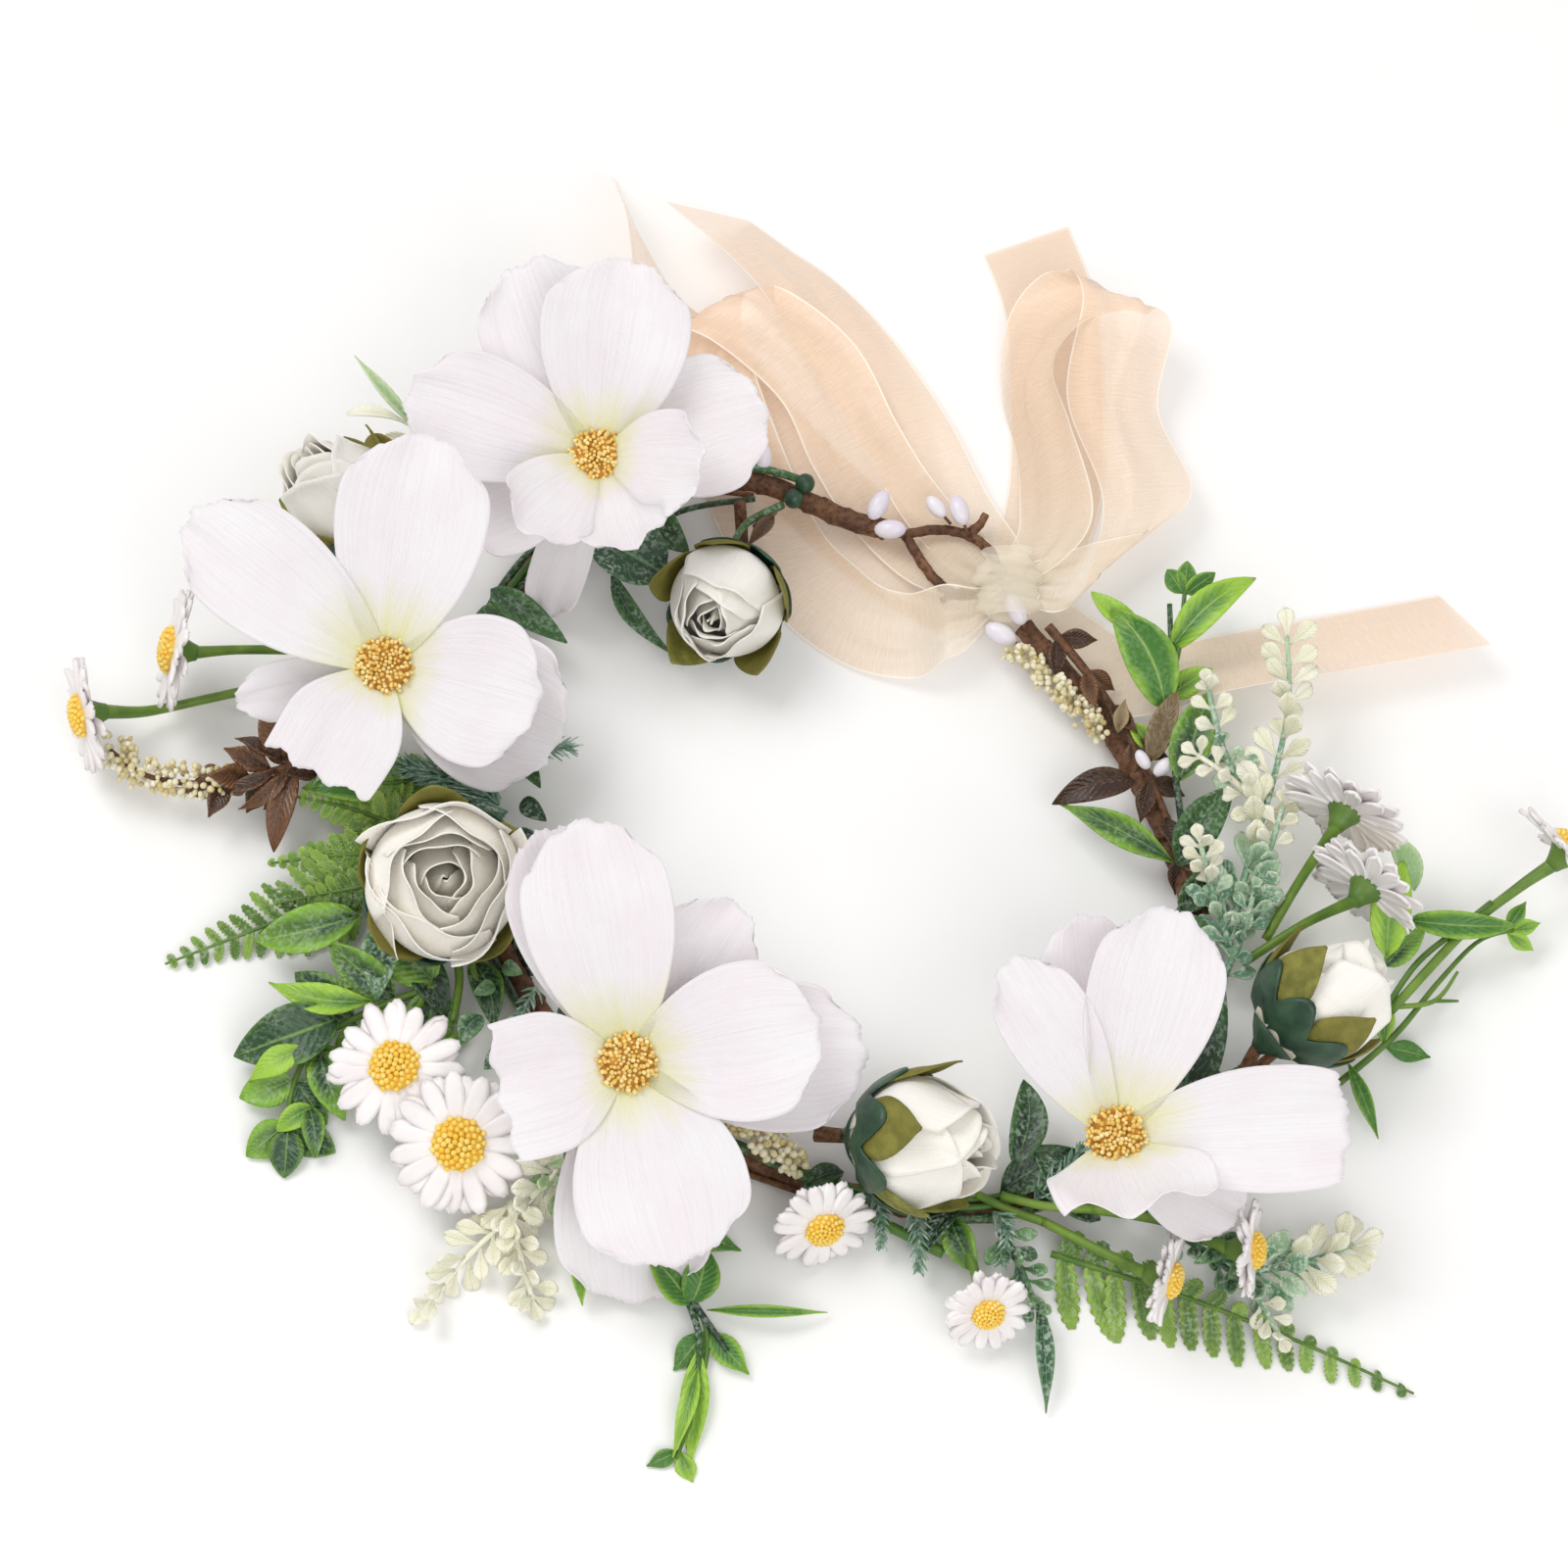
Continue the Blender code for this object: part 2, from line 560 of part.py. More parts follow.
def build_spray(name, plan, finish):
    """A stem strip with leaves in pairs, as one thin solid that follows the path."""
    pairs = plan["pairs"]
    length, width, angle = plan["leaf"]
    path = even_path(plan["path"], 2 * pairs + 2)
    ways = tangents(path)
    builder = bmesh.new()
    rows = []
    for place, way in zip(path, ways):
        across = way.cross(Vector((0, 0, 1))).normalized()
        half = across * plan["stem"]
        rows.append((builder.verts.new(place - half), builder.verts.new(place + half)))
    for (a, b), (c, d) in zip(rows, rows[1:]):
        builder.faces.new((a, b, d, c))
    for pair in range(pairs):
        start = 2 * pair + 1
        way = ways[start]
        across = way.cross(Vector((0, 0, 1))).normalized()
        share = pair / max(pairs - 1, 1)
        size = 1.0 - (1.0 - plan["taper"]) * share
        for side in (0, 1):
            a, b = rows[start][side], rows[start + 1][side]
            outwards = across * (1 if side else -1)
            lean = math.radians(angle)
            grow = way * math.cos(lean) + outwards * math.sin(lean)
            broad = way * math.sin(lean) - outwards * math.cos(lean)
            middle = (a.co + b.co) / 2
            rise = Vector((0, 0, plan["lift"]))
            belly = middle + grow * length * size * LEAF_BELLY + rise * LEAF_BELLY
            half = broad * width * (0.5 + 0.5 * size) / 2
            near, far = builder.verts.new(belly - half), builder.verts.new(belly + half)
            tip = builder.verts.new(middle + grow * length * size + rise)
            builder.faces.new((a, near, far, b))
            builder.faces.new((near, tip, far))
    sheet(name, builder, SPRAY_THICKNESS, finish, plan["path"][0])


def build_berry_cluster():
    """The cream berry cluster beside the front cosmos, as one rounded solid."""
    centre = Vector(BERRY_CLUSTER["centre"])
    radius, half = BERRY_CLUSTER["size"]
    axis = Vector(BERRY_CLUSTER["axis"]).normalized()
    sweep("berry_cluster_front", [
        ring(centre + axis * half * (2 * share - 1), axis, bud_radius(radius, share))
        for share in ROUND_LEVELS
    ], BERRY_SIDES, "berry_cream")


def build_crown():
    """Build every piece of the crown."""
    clear_scene()
    build_hoop()
    build_eye()
    build_knot()
    for name, stations in RIBBONS.items():
        build_ribbon(name, stations)
    for label, plan in COSMOS.items():
        build_cosmos(label, plan)
    for name, plan in BUDS.items():
        build_bud(name, plan)
    for name, plan in DAISIES.items():
        build_daisy(name, plan)
    for name, plan in SPRAYS.items():
        build_spray(name, plan, SPRAY_FINISH.get(name, "leaf_green"))
    build_berry_cluster()


build_crown()
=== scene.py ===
"""Looks of the flower crown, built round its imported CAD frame.

Tables are in millimetres, in the CAD's own frame: the table top is z = 0, the origin is the centre of
the head opening, +X is right and +Y points towards the bow. MM turns them into metres.
"""

import math
import random

import bpy
import numpy as np
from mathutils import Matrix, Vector, noise


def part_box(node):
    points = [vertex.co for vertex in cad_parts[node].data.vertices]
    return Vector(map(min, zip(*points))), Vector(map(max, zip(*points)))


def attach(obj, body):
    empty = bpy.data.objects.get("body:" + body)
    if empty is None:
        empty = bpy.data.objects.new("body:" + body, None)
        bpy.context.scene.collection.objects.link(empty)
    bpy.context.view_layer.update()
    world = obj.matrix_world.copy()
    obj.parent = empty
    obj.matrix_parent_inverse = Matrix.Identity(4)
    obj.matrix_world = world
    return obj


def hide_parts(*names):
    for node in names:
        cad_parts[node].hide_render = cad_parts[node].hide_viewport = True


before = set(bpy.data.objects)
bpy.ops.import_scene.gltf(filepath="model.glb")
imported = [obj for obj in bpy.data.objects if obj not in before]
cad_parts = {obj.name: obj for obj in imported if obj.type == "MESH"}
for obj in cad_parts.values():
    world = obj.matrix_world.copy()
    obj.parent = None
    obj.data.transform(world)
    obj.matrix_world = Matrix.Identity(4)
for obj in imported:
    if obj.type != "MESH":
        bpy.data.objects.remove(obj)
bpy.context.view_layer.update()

MM = 0.001
ROOT = "root"
UP = Vector((0, 0, 1))
FACING = Vector((0.0, -0.42, 0.91)).normalized()    # the way most heads and leaves look
GOLDEN_ANGLE = 2.39996                              # radians between grains that never line up


# ---------------------------------------------------------------- shapes

def smooth_path(points, steps):
    """Catmull-Rom stations through the listed points, with the given number of steps between two."""
    rows = [Vector(p) for p in points]
    last = len(rows) - 1
    made = []
    for index in range(last):
        before, start = rows[max(index - 1, 0)], rows[index]
        end, after = rows[index + 1], rows[min(index + 2, last)]
        for step in range(steps):
            t = step / steps
            made.append(0.5 * (
                2 * start + (end - before) * t
                + (2 * before - 5 * start + 4 * end - after) * t * t
                + (3 * start - before - 3 * end + after) * t ** 3
            ))
    made.append(rows[-1])
    return made


def even_path(points, count):
    """Stations an equal length apart along the smooth curve through the points."""
    fine = smooth_path(points, 12)
    lengths = [0.0]
    for a, b in zip(fine, fine[1:]):
        lengths.append(lengths[-1] + (b - a).length)
    made = []
    low = 0
    for index in range(count):
        target = lengths[-1] * index / (count - 1)
        while low < len(fine) - 2 and lengths[low + 1] < target:
            low += 1
        share = (target - lengths[low]) / (lengths[low + 1] - lengths[low])
        made.append(fine[low].lerp(fine[low + 1], share))
    return made


def path_length(path):
    """Length of a run of straight steps."""
    return sum((b - a).length for a, b in zip(path, path[1:]))


def tangents(path):
    """The direction of travel at each station."""
    last = len(path) - 1
    return [
        (path[min(index + 1, last)] - path[max(index - 1, 0)]).normalized() for index in range(last + 1)
    ]


def axes_of(facing, hint=Vector((1, 0, 0))):
    """Right, up and forward directions of something that looks along facing."""
    forward = Vector(facing).normalized()
    flat = hint - forward * forward.dot(hint)
    if flat.length < 0.05:
        flat = Vector((0, 1, 0)) - forward * forward.y
    right = flat.normalized()
    return right, forward.cross(right), forward


def middle_of(node):
    """The middle of a CAD node's box, in millimetres."""
    low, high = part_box(node)
    return (low + high) / 2 / MM


def around(right, up, turn):
    """The direction that is turn radians from right towards up."""
    return right * math.cos(turn) + up * math.sin(turn)


def smoothstep(low, high, value):
    """0 below low, 1 above high, smooth between."""
    t = min(max((value - low) / (high - low), 0.0), 1.0)
    return t * t * (3 - 2 * t)


RESTING_GAP = 0.05       # between the table and whatever rests on it
RESTING_EASE = 1.2       # height over which a falling surface levels out


def rested(height, rest):
    """Height above the table that eases towards rest instead of passing below it."""
    above = height - rest
    return height if above > RESTING_EASE else rest + RESTING_EASE * math.exp(above / RESTING_EASE - 1)


class Shape:
    """Gathers the surfaces of one piece, in millimetres.

    Each point has a UV place (u along the surface, v across it) and a tone, a number from 0 to 1 that
    its material varies the colour by.
    """

    def __init__(self):
        self.points, self.uvs, self.tones = [], [], []
        self.faces, self.slots = [], []

    def grid(self, rows, tone=0.5, slot=0, wrap=False):
        """A lattice of points, rows along u and columns along v; wrap joins the last column to the first.

        tone is one number, or one for each row.
        """
        tones = tone if hasattr(tone, "__len__") else [tone] * len(rows)
        start = len(self.points)
        count, across = len(rows), len(rows[0])
        for r, row in enumerate(rows):
            for c, point in enumerate(row):
                self.points.append(point)
                self.uvs.append((r / (count - 1), c / (across - (0 if wrap else 1))))
                self.tones.append(tones[r])
        for r in range(count - 1):
            for c in range(across if wrap else across - 1):
                follow = (c + 1) % across
                low, high = start + r * across, start + (r + 1) * across
                self.faces.append((low + c, low + follow, high + follow, high + c))
                self.slots.append(slot)
        return start

    def closed_rings(self, rings, tone, slot):
        """A skin over rings of points, with a flat face on the first and the last."""
        sides = len(rings[0])
        start = self.grid(rings, tone, slot, wrap=True)
        end = start + (len(rings) - 1) * sides
        self.faces.append(tuple(range(start + sides - 1, start - 1, -1)))
        self.faces.append(tuple(range(end, end + sides)))
        self.slots += [slot, slot]

    def tube(self, path, radii, sides=8, tone=0.5, slot=0, swell=None):
        """A round rod along the path; swell(station, turn) may scale its radius."""
        path = [Vector(p) for p in path]
        if not hasattr(radii, "__len__"):
            radii = [radii] * len(path)
        side = None
        rows = []
        for index, (centre, way) in enumerate(zip(path, tangents(path))):
            reference = side if side is not None else axes_of(way, Vector((0.9, 0.13, 0.07)))[0]
            side = (reference - way * reference.dot(way)).normalized()
            other = way.cross(side)
            row = []
            for corner in range(sides):
                turn = 2 * math.pi * corner / sides
                reach = radii[index] * (swell(index, turn) if swell else 1.0)
                row.append(centre + around(side, other, turn) * reach)
            rows.append(row)
        self.closed_rings(rows, tone, slot)

    def lathe(self, centre, axis, profile, sides=10, tone=0.5, slot=0):
        """A turned body from (radius, height) pairs, bottom to top."""
        axis = Vector(axis).normalized()
        right, up, _ = axes_of(axis)
        rows = []
        for radius, height in profile:
            hub = Vector(centre) + axis * height
            rows.append([hub + around(right, up, 2 * math.pi * k / sides) * radius for k in range(sides)])
        self.closed_rings(rows, tone, slot)

    def bead(self, centre, axis, radius, height, sides=6, rings=4, tone=0.5, slot=0):
        """A small egg-shaped grain, radius across and height along its axis."""
        levels = [math.pi * (k + 0.35) / (rings + 0.7) for k in range(rings + 1)]
        profile = [(radius * math.sin(a), -height / 2 * math.cos(a)) for a in levels]
        self.lathe(centre, axis, profile, sides, tone, slot)

    def build(self, name, materials, thickness=0.0, rests=True):
        """Make the object; thickness thickens an open surface equally to both sides.

        What rests on the table and would dip below it flattens out just above it instead.
        """
        mesh = bpy.data.meshes.new(name)
        rest = thickness / 2 + RESTING_GAP
        points = [(p[0], p[1], rested(p[2], rest) if rests else p[2]) for p in self.points]
        mesh.from_pydata([tuple(c * MM for c in point) for point in points], [], self.faces)
        layer = mesh.uv_layers.new(name="UVMap")
        corners = np.empty(len(mesh.loops), dtype=np.int32)
        mesh.loops.foreach_get("vertex_index", corners)
        layer.data.foreach_set("uv", np.array(self.uvs, dtype=np.float32)[corners].ravel())
        tone = mesh.attributes.new("tone", "FLOAT", "POINT")
        tone.data.foreach_set("value", np.array(self.tones, dtype=np.float32))
        mesh.polygons.foreach_set("material_index", np.array(self.slots, dtype=np.int32))
        for surface in materials:
            mesh.materials.append(surface)
        mesh.shade_smooth()
        mesh.update()
        made = bpy.data.objects.new(name, mesh)
        bpy.context.collection.objects.link(made)
        if thickness:
            solidify = made.modifiers.new("Thickness", "SOLIDIFY")
            solidify.thickness = thickness * MM
            solidify.offset = 0.0
        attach(made, ROOT)
        return made


# ---------------------------------------------------------------- materials

def srgb(red, green, blue):
    """Linear colour from 0-255 display values."""
    return tuple(
        c / 12.92 if c <= 0.04045 else ((c + 0.055) / 1.055) ** 2.4
        for c in (red / 255, green / 255, blue / 255)
    ) + (1.0,)


TONE_SHIFT = 50.0        # how far a tone of 1 moves a stretched pattern, so that no two pieces match


class Nodes:
    """A short way to write a material's node tree."""

    def __init__(self, name):
        self.material = bpy.data.materials.new(name)
        self.material.use_nodes = True
        self.tree = self.material.node_tree
        self.shader = self.tree.nodes["Principled BSDF"]

    def set(self, made, inputs):
        """Give a node's inputs a value, or a link where the value is another node's output."""
        for key, value in inputs.items():
            if isinstance(value, bpy.types.NodeSocket):
                self.tree.links.new(value, made.inputs[key])
            else:
                made.inputs[key].default_value = value

    def add(self, kind, inputs=None, **settings):
        made = self.tree.nodes.new("ShaderNode" + kind)
        for key, value in settings.items():
            setattr(made, key, value)
        self.set(made, inputs or {})
        return made

    def math(self, operation, a, b=0.0, clamp=False):
        return self.add("Math", {0: a, 1: b}, operation=operation, use_clamp=clamp).outputs[0]

    def plus(self, a, b):
        return self.math("ADD", a, b)

    def minus(self, a, b):
        return self.math("SUBTRACT", a, b)

    def times(self, a, b):
        return self.math("MULTIPLY", a, b)

    def mix(self, share, a, b):
        """Colour a blended towards colour b by the share."""
        made = self.add("Mix", data_type="RGBA", blend_type="MIX")
        self.set(made, {0: share, 6: a, 7: b})
        return made.outputs[2]

    def ramp(self, value, stops):
        """Grey or colour ramp through (place, colour) stops."""
        made = self.add("ValToRGB", {"Fac": value})
        while len(made.color_ramp.elements) < len(stops):
            made.color_ramp.elements.new(0.5)
        for element, (place, colour) in zip(made.color_ramp.elements, stops):
            element.position = place
            element.color = colour if hasattr(colour, "__len__") else (colour, colour, colour, 1.0)
        return made.outputs["Color"]

    def noise(self, scale, detail=2.0, vector=None, roughness=0.5):
        inputs = {"Scale": scale, "Detail": detail, "Roughness": roughness}
        inputs["Vector"] = vector or self.object_place()
        return self.add("TexNoise", inputs).outputs["Fac"]

    def object_place(self):
        return self.add("TexCoord").outputs["Object"]

    def uv(self):
        """u and v of the surface."""
        split = self.add("SeparateXYZ", {0: self.add("UVMap", uv_map="UVMap").outputs[0]})
        return split.outputs[0], split.outputs[1]

    def tone(self):
        return self.add("Attribute", attribute_name="tone").outputs["Fac"]

    def stretch(self, u, v, along, across):
        """A texture place whose pattern is drawn out along u."""
        apart = self.times(self.tone(), TONE_SHIFT)
        made = self.add("CombineXYZ", {0: self.times(u, along), 1: self.times(v, across), 2: apart})
        return made.outputs[0]

    def bump(self, height, distance, strength):
        inputs = {"Height": height, "Distance": distance, "Strength": strength}
        return self.add("Bump", inputs).outputs["Normal"]

    def finish(self, **inputs):
        self.set(self.shader, {key.replace("_", " "): value for key, value in inputs.items()})
        return self.material


def weave(nodes, scale):
    """Plain-weave height from two crossed sets of threads, in object space."""
    heights = []
    for axis in ("X", "Y"):
        wave = nodes.add("TexWave", {
            "Vector": nodes.object_place(), "Scale": scale, "Distortion": 1.5, "Detail": 1.0,
            "Detail Scale": 2.0,
        }, wave_type="BANDS", bands_direction=axis)
        heights.append(wave.outputs["Fac"])
    return nodes.times(*heights)


def petal_cloth(name, body, blush, heart, reach, dark, inner=None, thin=0.0025):
    """Woven petal cloth: fine veins along the petal with painted shade darkening their grooves, a tinted
    heart and a faint blush.

    The heart's tint ends at reach, a share of the petal's length. With inner, the surfaces of higher tone
    take that colour. thin is how far light spreads inside, in metres, and so how much of it does.
    """
    nodes = Nodes(name)
    u, v = nodes.uv()
    veins = nodes.noise(1.0, 3.0, nodes.stretch(u, v, 1.8, 60.0), 0.6)
    broad = nodes.noise(1.0, 2.0, nodes.stretch(u, v, 1.2, 7.0), 0.5)
    blotch = nodes.noise(60.0, 2.0)
    colour = nodes.mix(nodes.ramp(blotch, [(0.35, 0.0), (0.7, 1.0)]), body, blush)
    # painted shade: the colour darkens towards dark in the vein grooves, where the bump sinks the surface
    shade = nodes.times(nodes.ramp(veins, [(0.30, 1.0), (0.55, 0.0)]), 0.32)
    colour = nodes.mix(shade, colour, dark)
    if inner:
        colour = nodes.mix(nodes.tone(), colour, inner)
    edge = nodes.plus(u, nodes.times(nodes.minus(broad, 0.5), 0.28))
    colour = nodes.mix(nodes.ramp(edge, [(0.05, 1.0), (reach, 0.0)]), colour, heart)
    height = nodes.plus(nodes.times(veins, 0.8), nodes.times(weave(nodes, 900.0), 0.12))
    return nodes.finish(
        Base_Color=colour, Roughness=nodes.ramp(veins, [(0.3, 0.75), (0.7, 0.6)]),
        Normal=nodes.bump(height, 0.0006, 0.55), Sheen_Weight=0.25, Sheen_Roughness=0.4,
        Subsurface_Weight=100 * thin, Subsurface_Radius=(1.0, 0.92, 0.85), Subsurface_Scale=thin,
    )


def leaf_plastic(name, dark, bright, frost, rib, gloss, frosting):
    """Moulded leaf: dark middle, bright edge and tip, ribs, and a frost of pale speckles.

    gloss is its roughness where it has no frost, and frosting the strength of the frost.
    """
    nodes = Nodes(name)
    u, v = nodes.uv()
    side = nodes.math("ABSOLUTE", nodes.minus(v, 0.5))
    rim = nodes.math("MAXIMUM", nodes.times(side, 2.0), nodes.minus(u, 0.15))
    for variation in (nodes.noise(90.0, 3.0), nodes.tone()):
        rim = nodes.plus(rim, nodes.times(nodes.minus(variation, 0.5), 0.9))
    colour = nodes.mix(nodes.ramp(rim, [(0.35, 0.0), (1.0, 1.0)]), dark, bright)
    ribs = nodes.add("TexWave", {
        "Vector": nodes.stretch(nodes.plus(u, nodes.times(side, -0.5)), v, 1.0, 0.0),
        "Scale": 3.2, "Distortion": 0.6,
    }, bands_direction="X").outputs["Fac"]
    middle = nodes.ramp(side, [(0.0, 1.0), (0.045, 0.0)])
    colour = nodes.mix(nodes.times(middle, 0.6), colour, rib)
    speck = nodes.ramp(nodes.noise(900.0, 2.0), [(0.48, 0.0), (0.62, 1.0)])
    cloud = nodes.ramp(nodes.noise(140.0, 2.0), [(0.35, 0.15), (0.65, 1.0)])
    frost_share = nodes.times(speck, cloud)
    colour = nodes.mix(nodes.times(frost_share, frosting), colour, frost)
    rough = nodes.math("ADD", nodes.times(frost_share, 0.35), gloss, clamp=True)
    height = nodes.plus(nodes.times(ribs, 0.5), nodes.times(middle, 0.8))
    height = nodes.plus(height, nodes.times(frost_share, 0.4))
    return nodes.finish(
        Base_Color=colour, Roughness=rough, Normal=nodes.bump(height, 0.0005, 0.5), Coat_Weight=0.08,
        Subsurface_Weight=0.08, Subsurface_Radius=(0.4, 1.0, 0.2), Subsurface_Scale=0.002,
    )


def plain_plastic(name, low, high, roughness, scale, grain, tint=None):
    """Moulded or natural part in two mottled colours, with an optional second tint by tone."""
    nodes = Nodes(name)
    blotch = nodes.noise(scale, 3.0)
    colour = nodes.mix(nodes.ramp(blotch, [(0.35, 0.0), (0.65, 1.0)]), low, high)
    if tint:
        colour = nodes.mix(nodes.tone(), colour, tint)
    fine = nodes.noise(scale * 6, 2.0)
    rough = nodes.plus(nodes.times(fine, 0.2), roughness - 0.1)
    return nodes.finish(Base_Color=colour, Roughness=rough, Normal=nodes.bump(fine, 0.0003, grain))


def organza():
    """Sheer ribbon: fine crossed threads, a bright selvedge, painted glints, and paler cloth near the knot.
    """
    nodes = Nodes("organza")
    u, v = nodes.uv()
    side = nodes.times(nodes.math("ABSOLUTE", nodes.minus(v, 0.5)), 2.0)
    selvedge = nodes.ramp(side, [(0.945, 0.0), (0.97, 1.0)])
    weft = nodes.noise(1.0, 2.0, nodes.stretch(u, v, 900.0, 5.0), 0.6)
    warp = nodes.noise(1.0, 2.0, nodes.stretch(u, v, 24.0, 150.0), 0.6)
    threads = nodes.plus(nodes.times(weft, 0.6), nodes.times(warp, 0.4))
    # painted glints: fine speckles mixed towards near-white stand in for light catching the threads
    glint = nodes.ramp(nodes.noise(1400.0, 1.0), [(0.70, 0.0), (0.76, 1.0)])
    tint = nodes.ramp(threads, [(0.30, 0.0), (0.70, 1.0)])
    colour = nodes.mix(tint, srgb(250, 216, 184), srgb(255, 228, 202))
    colour = nodes.mix(nodes.tone(), colour, srgb(244, 234, 212))
    colour = nodes.mix(nodes.times(selvedge, 0.7), colour, srgb(255, 248, 236))
    colour = nodes.mix(nodes.times(glint, 0.7), colour, srgb(255, 252, 244))
    cover = nodes.plus(nodes.times(nodes.ramp(threads, [(0.36, 0.0), (0.64, 1.0)]), 0.10), 0.56)
    cover = nodes.minus(cover, nodes.times(nodes.tone(), 0.16))
    cover = nodes.math("MAXIMUM", cover, nodes.times(selvedge, 0.88))
    return nodes.finish(
        Base_Color=colour, Alpha=cover, Roughness=nodes.ramp(threads, [(0.3, 0.5), (0.7, 0.32)]),
        Normal=nodes.bump(threads, 0.0001, 0.15), Sheen_Weight=0.5, Sheen_Roughness=0.3,
    )


def floral_tape():
    """Brown crepe tape: fine crinkles with painted shade in their hollows, waxy and dull."""
    nodes = Nodes("floral_tape")
    crinkle = nodes.noise(700.0, 3.0)
    blotch = nodes.noise(120.0, 2.0)
    colour = nodes.mix(nodes.ramp(blotch, [(0.3, 0.0), (0.7, 1.0)]), srgb(84, 52, 32), srgb(134, 92, 60))
    # painted shade: the crinkle hollows, where the bump sinks, are darkened towards deep brown
    colour = nodes.mix(nodes.ramp(crinkle, [(0.35, 0.7), (0.55, 0.0)]), colour, srgb(52, 30, 18))
    return nodes.finish(
        Base_Color=colour, Roughness=nodes.ramp(crinkle, [(0.3, 0.85), (0.7, 0.6)]),
        Normal=nodes.bump(crinkle, 0.0006, 0.6),
    )


# Petal cloths: body, blush, heart, reach of the heart, painted shade along the veins, inner colour and spread
# of light.
PETAL_CLOTHS = {
    "cosmos": ("cosmos_cloth", (245, 241, 243), (243, 233, 237), (230, 229, 168), 0.36, (228, 216, 222)),
    "ivory": ("ivory_cloth", (255, 252, 246), (254, 249, 240), (244, 240, 218), 0.10, (242, 238, 230),
              (252, 248, 234), 0.0004),
}
# Plain plastics: two mottled colours, roughness, scale of the mottling, grain and a tint.
PLAIN_PLASTICS = {
    "sepal": ("sepal_felt", (96, 100, 36), (148, 146, 66), 0.75, 260.0, 0.8, (120, 112, 40)),
    "calyx": ("calyx_green", (30, 58, 42), (54, 88, 62), 0.38, 160.0, 0.4),
    "stamen": ("stamen_gold", (246, 212, 112), (253, 240, 180), 0.6, 500.0, 0.5, (230, 184, 84)),
    "stamen_dark": ("stamen_dark", (160, 104, 28), (206, 148, 50), 0.8, 500.0, 0.6),
    "stem": ("stem_green", (86, 120, 32), (126, 156, 56), 0.45, 140.0, 0.3, (66, 106, 42)),
    "daisy": ("daisy_white", (248, 244, 243), (238, 231, 231), 0.34, 90.0, 0.1),
    "button": ("daisy_button", (252, 216, 88), (255, 232, 140), 0.4, 300.0, 0.3, (248, 202, 72)),
    "plume": ("frosted_plume", (104, 144, 122), (206, 222, 210), 0.6, 700.0, 0.5, (110, 150, 120)),
    "berry": ("berry_cream", (228, 218, 176), (248, 243, 222), 0.5, 300.0, 0.5, (206, 186, 120)),
    "pip": ("pip_white", (240, 234, 238), (226, 218, 230), 0.3, 90.0, 0.1),
    "wire": ("core_wire", (120, 120, 122), (150, 150, 152), 0.4, 400.0, 0.2),
}
# Leaf plastics: middle, edge, frost and rib colours, roughness and share of frost.
LEAF_PLASTICS = {
    "leaf": ("leaf_green", (36, 74, 36), (128, 174, 46), (206, 224, 200), (150, 190, 92), 0.36, 0.28),
    "leaf_bright": ("leaf_bright", (66, 120, 38), (160, 202, 62), (220, 236, 200), (186, 214, 110), 0.34,
                    0.12),
    "leaf_frost": ("leaf_frost", (42, 82, 54), (110, 152, 96), (222, 234, 222), (150, 186, 138), 0.48, 0.6),
    "leaf_dark": ("leaf_dark", (26, 52, 30), (58, 98, 44), (196, 214, 200), (96, 140, 84), 0.40, 0.45),
    "leaf_pale": ("leaf_pale", (150, 184, 128), (206, 224, 176), (236, 242, 226), (190, 212, 160), 0.45,
                  0.4),
    "brown_pale": ("brown_pale_leaf", (104, 84, 54), (160, 138, 100), (214, 196, 160), (140, 116, 80), 0.3,
                   0.2),
    "fern": ("fern_green", (82, 116, 42), (142, 176, 68), (214, 230, 204), (150, 190, 96), 0.42, 0.35),
    "fern_bright": ("fern_bright", (110, 152, 50), (170, 202, 88), (224, 236, 206), (176, 208, 110), 0.42,
                    0.25),
    "cream": ("lavender_cream", (240, 238, 210), (253, 250, 230), (255, 254, 244), (230, 230, 180), 0.5,
              0.3),
    "cream_green": ("lavender_green", (96, 146, 112), (190, 214, 180), (236, 242, 230), (170, 200, 160),
                    0.5, 0.7),
    "brown": ("brown_leaf", (56, 30, 16), (112, 72, 40), (190, 156, 118), (104, 66, 40), 0.24, 0.08),
}
MAT = {"tape": floral_tape(), "organza": organza()}
for make_material, looks in (
    (petal_cloth, PETAL_CLOTHS), (plain_plastic, PLAIN_PLASTICS), (leaf_plastic, LEAF_PLASTICS),
):
    for look, values in looks.items():
        MAT[look] = make_material(*[srgb(*v) if isinstance(v, tuple) else v for v in values])


# ---------------------------------------------------------------- hoop

# Stations of the hoop's middle, clockwise from the bow's right end, and of the eye at its left end.
HOOP_PATH = [
    (49, 60, 8), (58, 49, 7), (68, 37, 5), (78, 18, 3.4), (87, -5, 3), (91, -27, 3), (91, -50, 3),
    (80, -72, 3), (60, -89, 3), (35, -97, 3), (7, -93, 3), (-22, -83, 3), (-50, -69, 3), (-71, -47, 3),
    (-84, -25, 3), (-92, -4, 3), (-95, 18, 3), (-93, 40, 3), (-87, 63, 3.4), (-74, 83, 5), (-54, 97, 7),
    (-36, 102, 8), (-18, 102, 8), (3, 92, 8), (14, 88.5, 8),
]
EYE_PATH = [
    (19, 87, 8), (27, 88.5, 8), (35, 87, 8), (41, 82, 8), (42, 76, 8), (37, 70, 8), (31, 70, 8), (25, 76, 8),
    (19, 87, 8),
]
HOOP_RADIUS = 2.75
EYE_RADIUS = 1.35
TWIG_RADIUS = 1.5
TAPE_PITCH = 7.0         # between two turns of tape along the hoop
FINE_PITCH = 4.5         # the same along the eye
TAPE_RIDGE = 0.16        # how far a turn's edge stands proud, by the rod's radius
TWIG_PATHS = [
    [(35, 87, 8), (38, 89, 9), (40, 92, 10)], [(37, 70, 8), (33, 69.5, 9), (28, 67, 9.5)],
    [(12, 90, 8), (16, 88, 8), (20, 86.5, 8)],
]


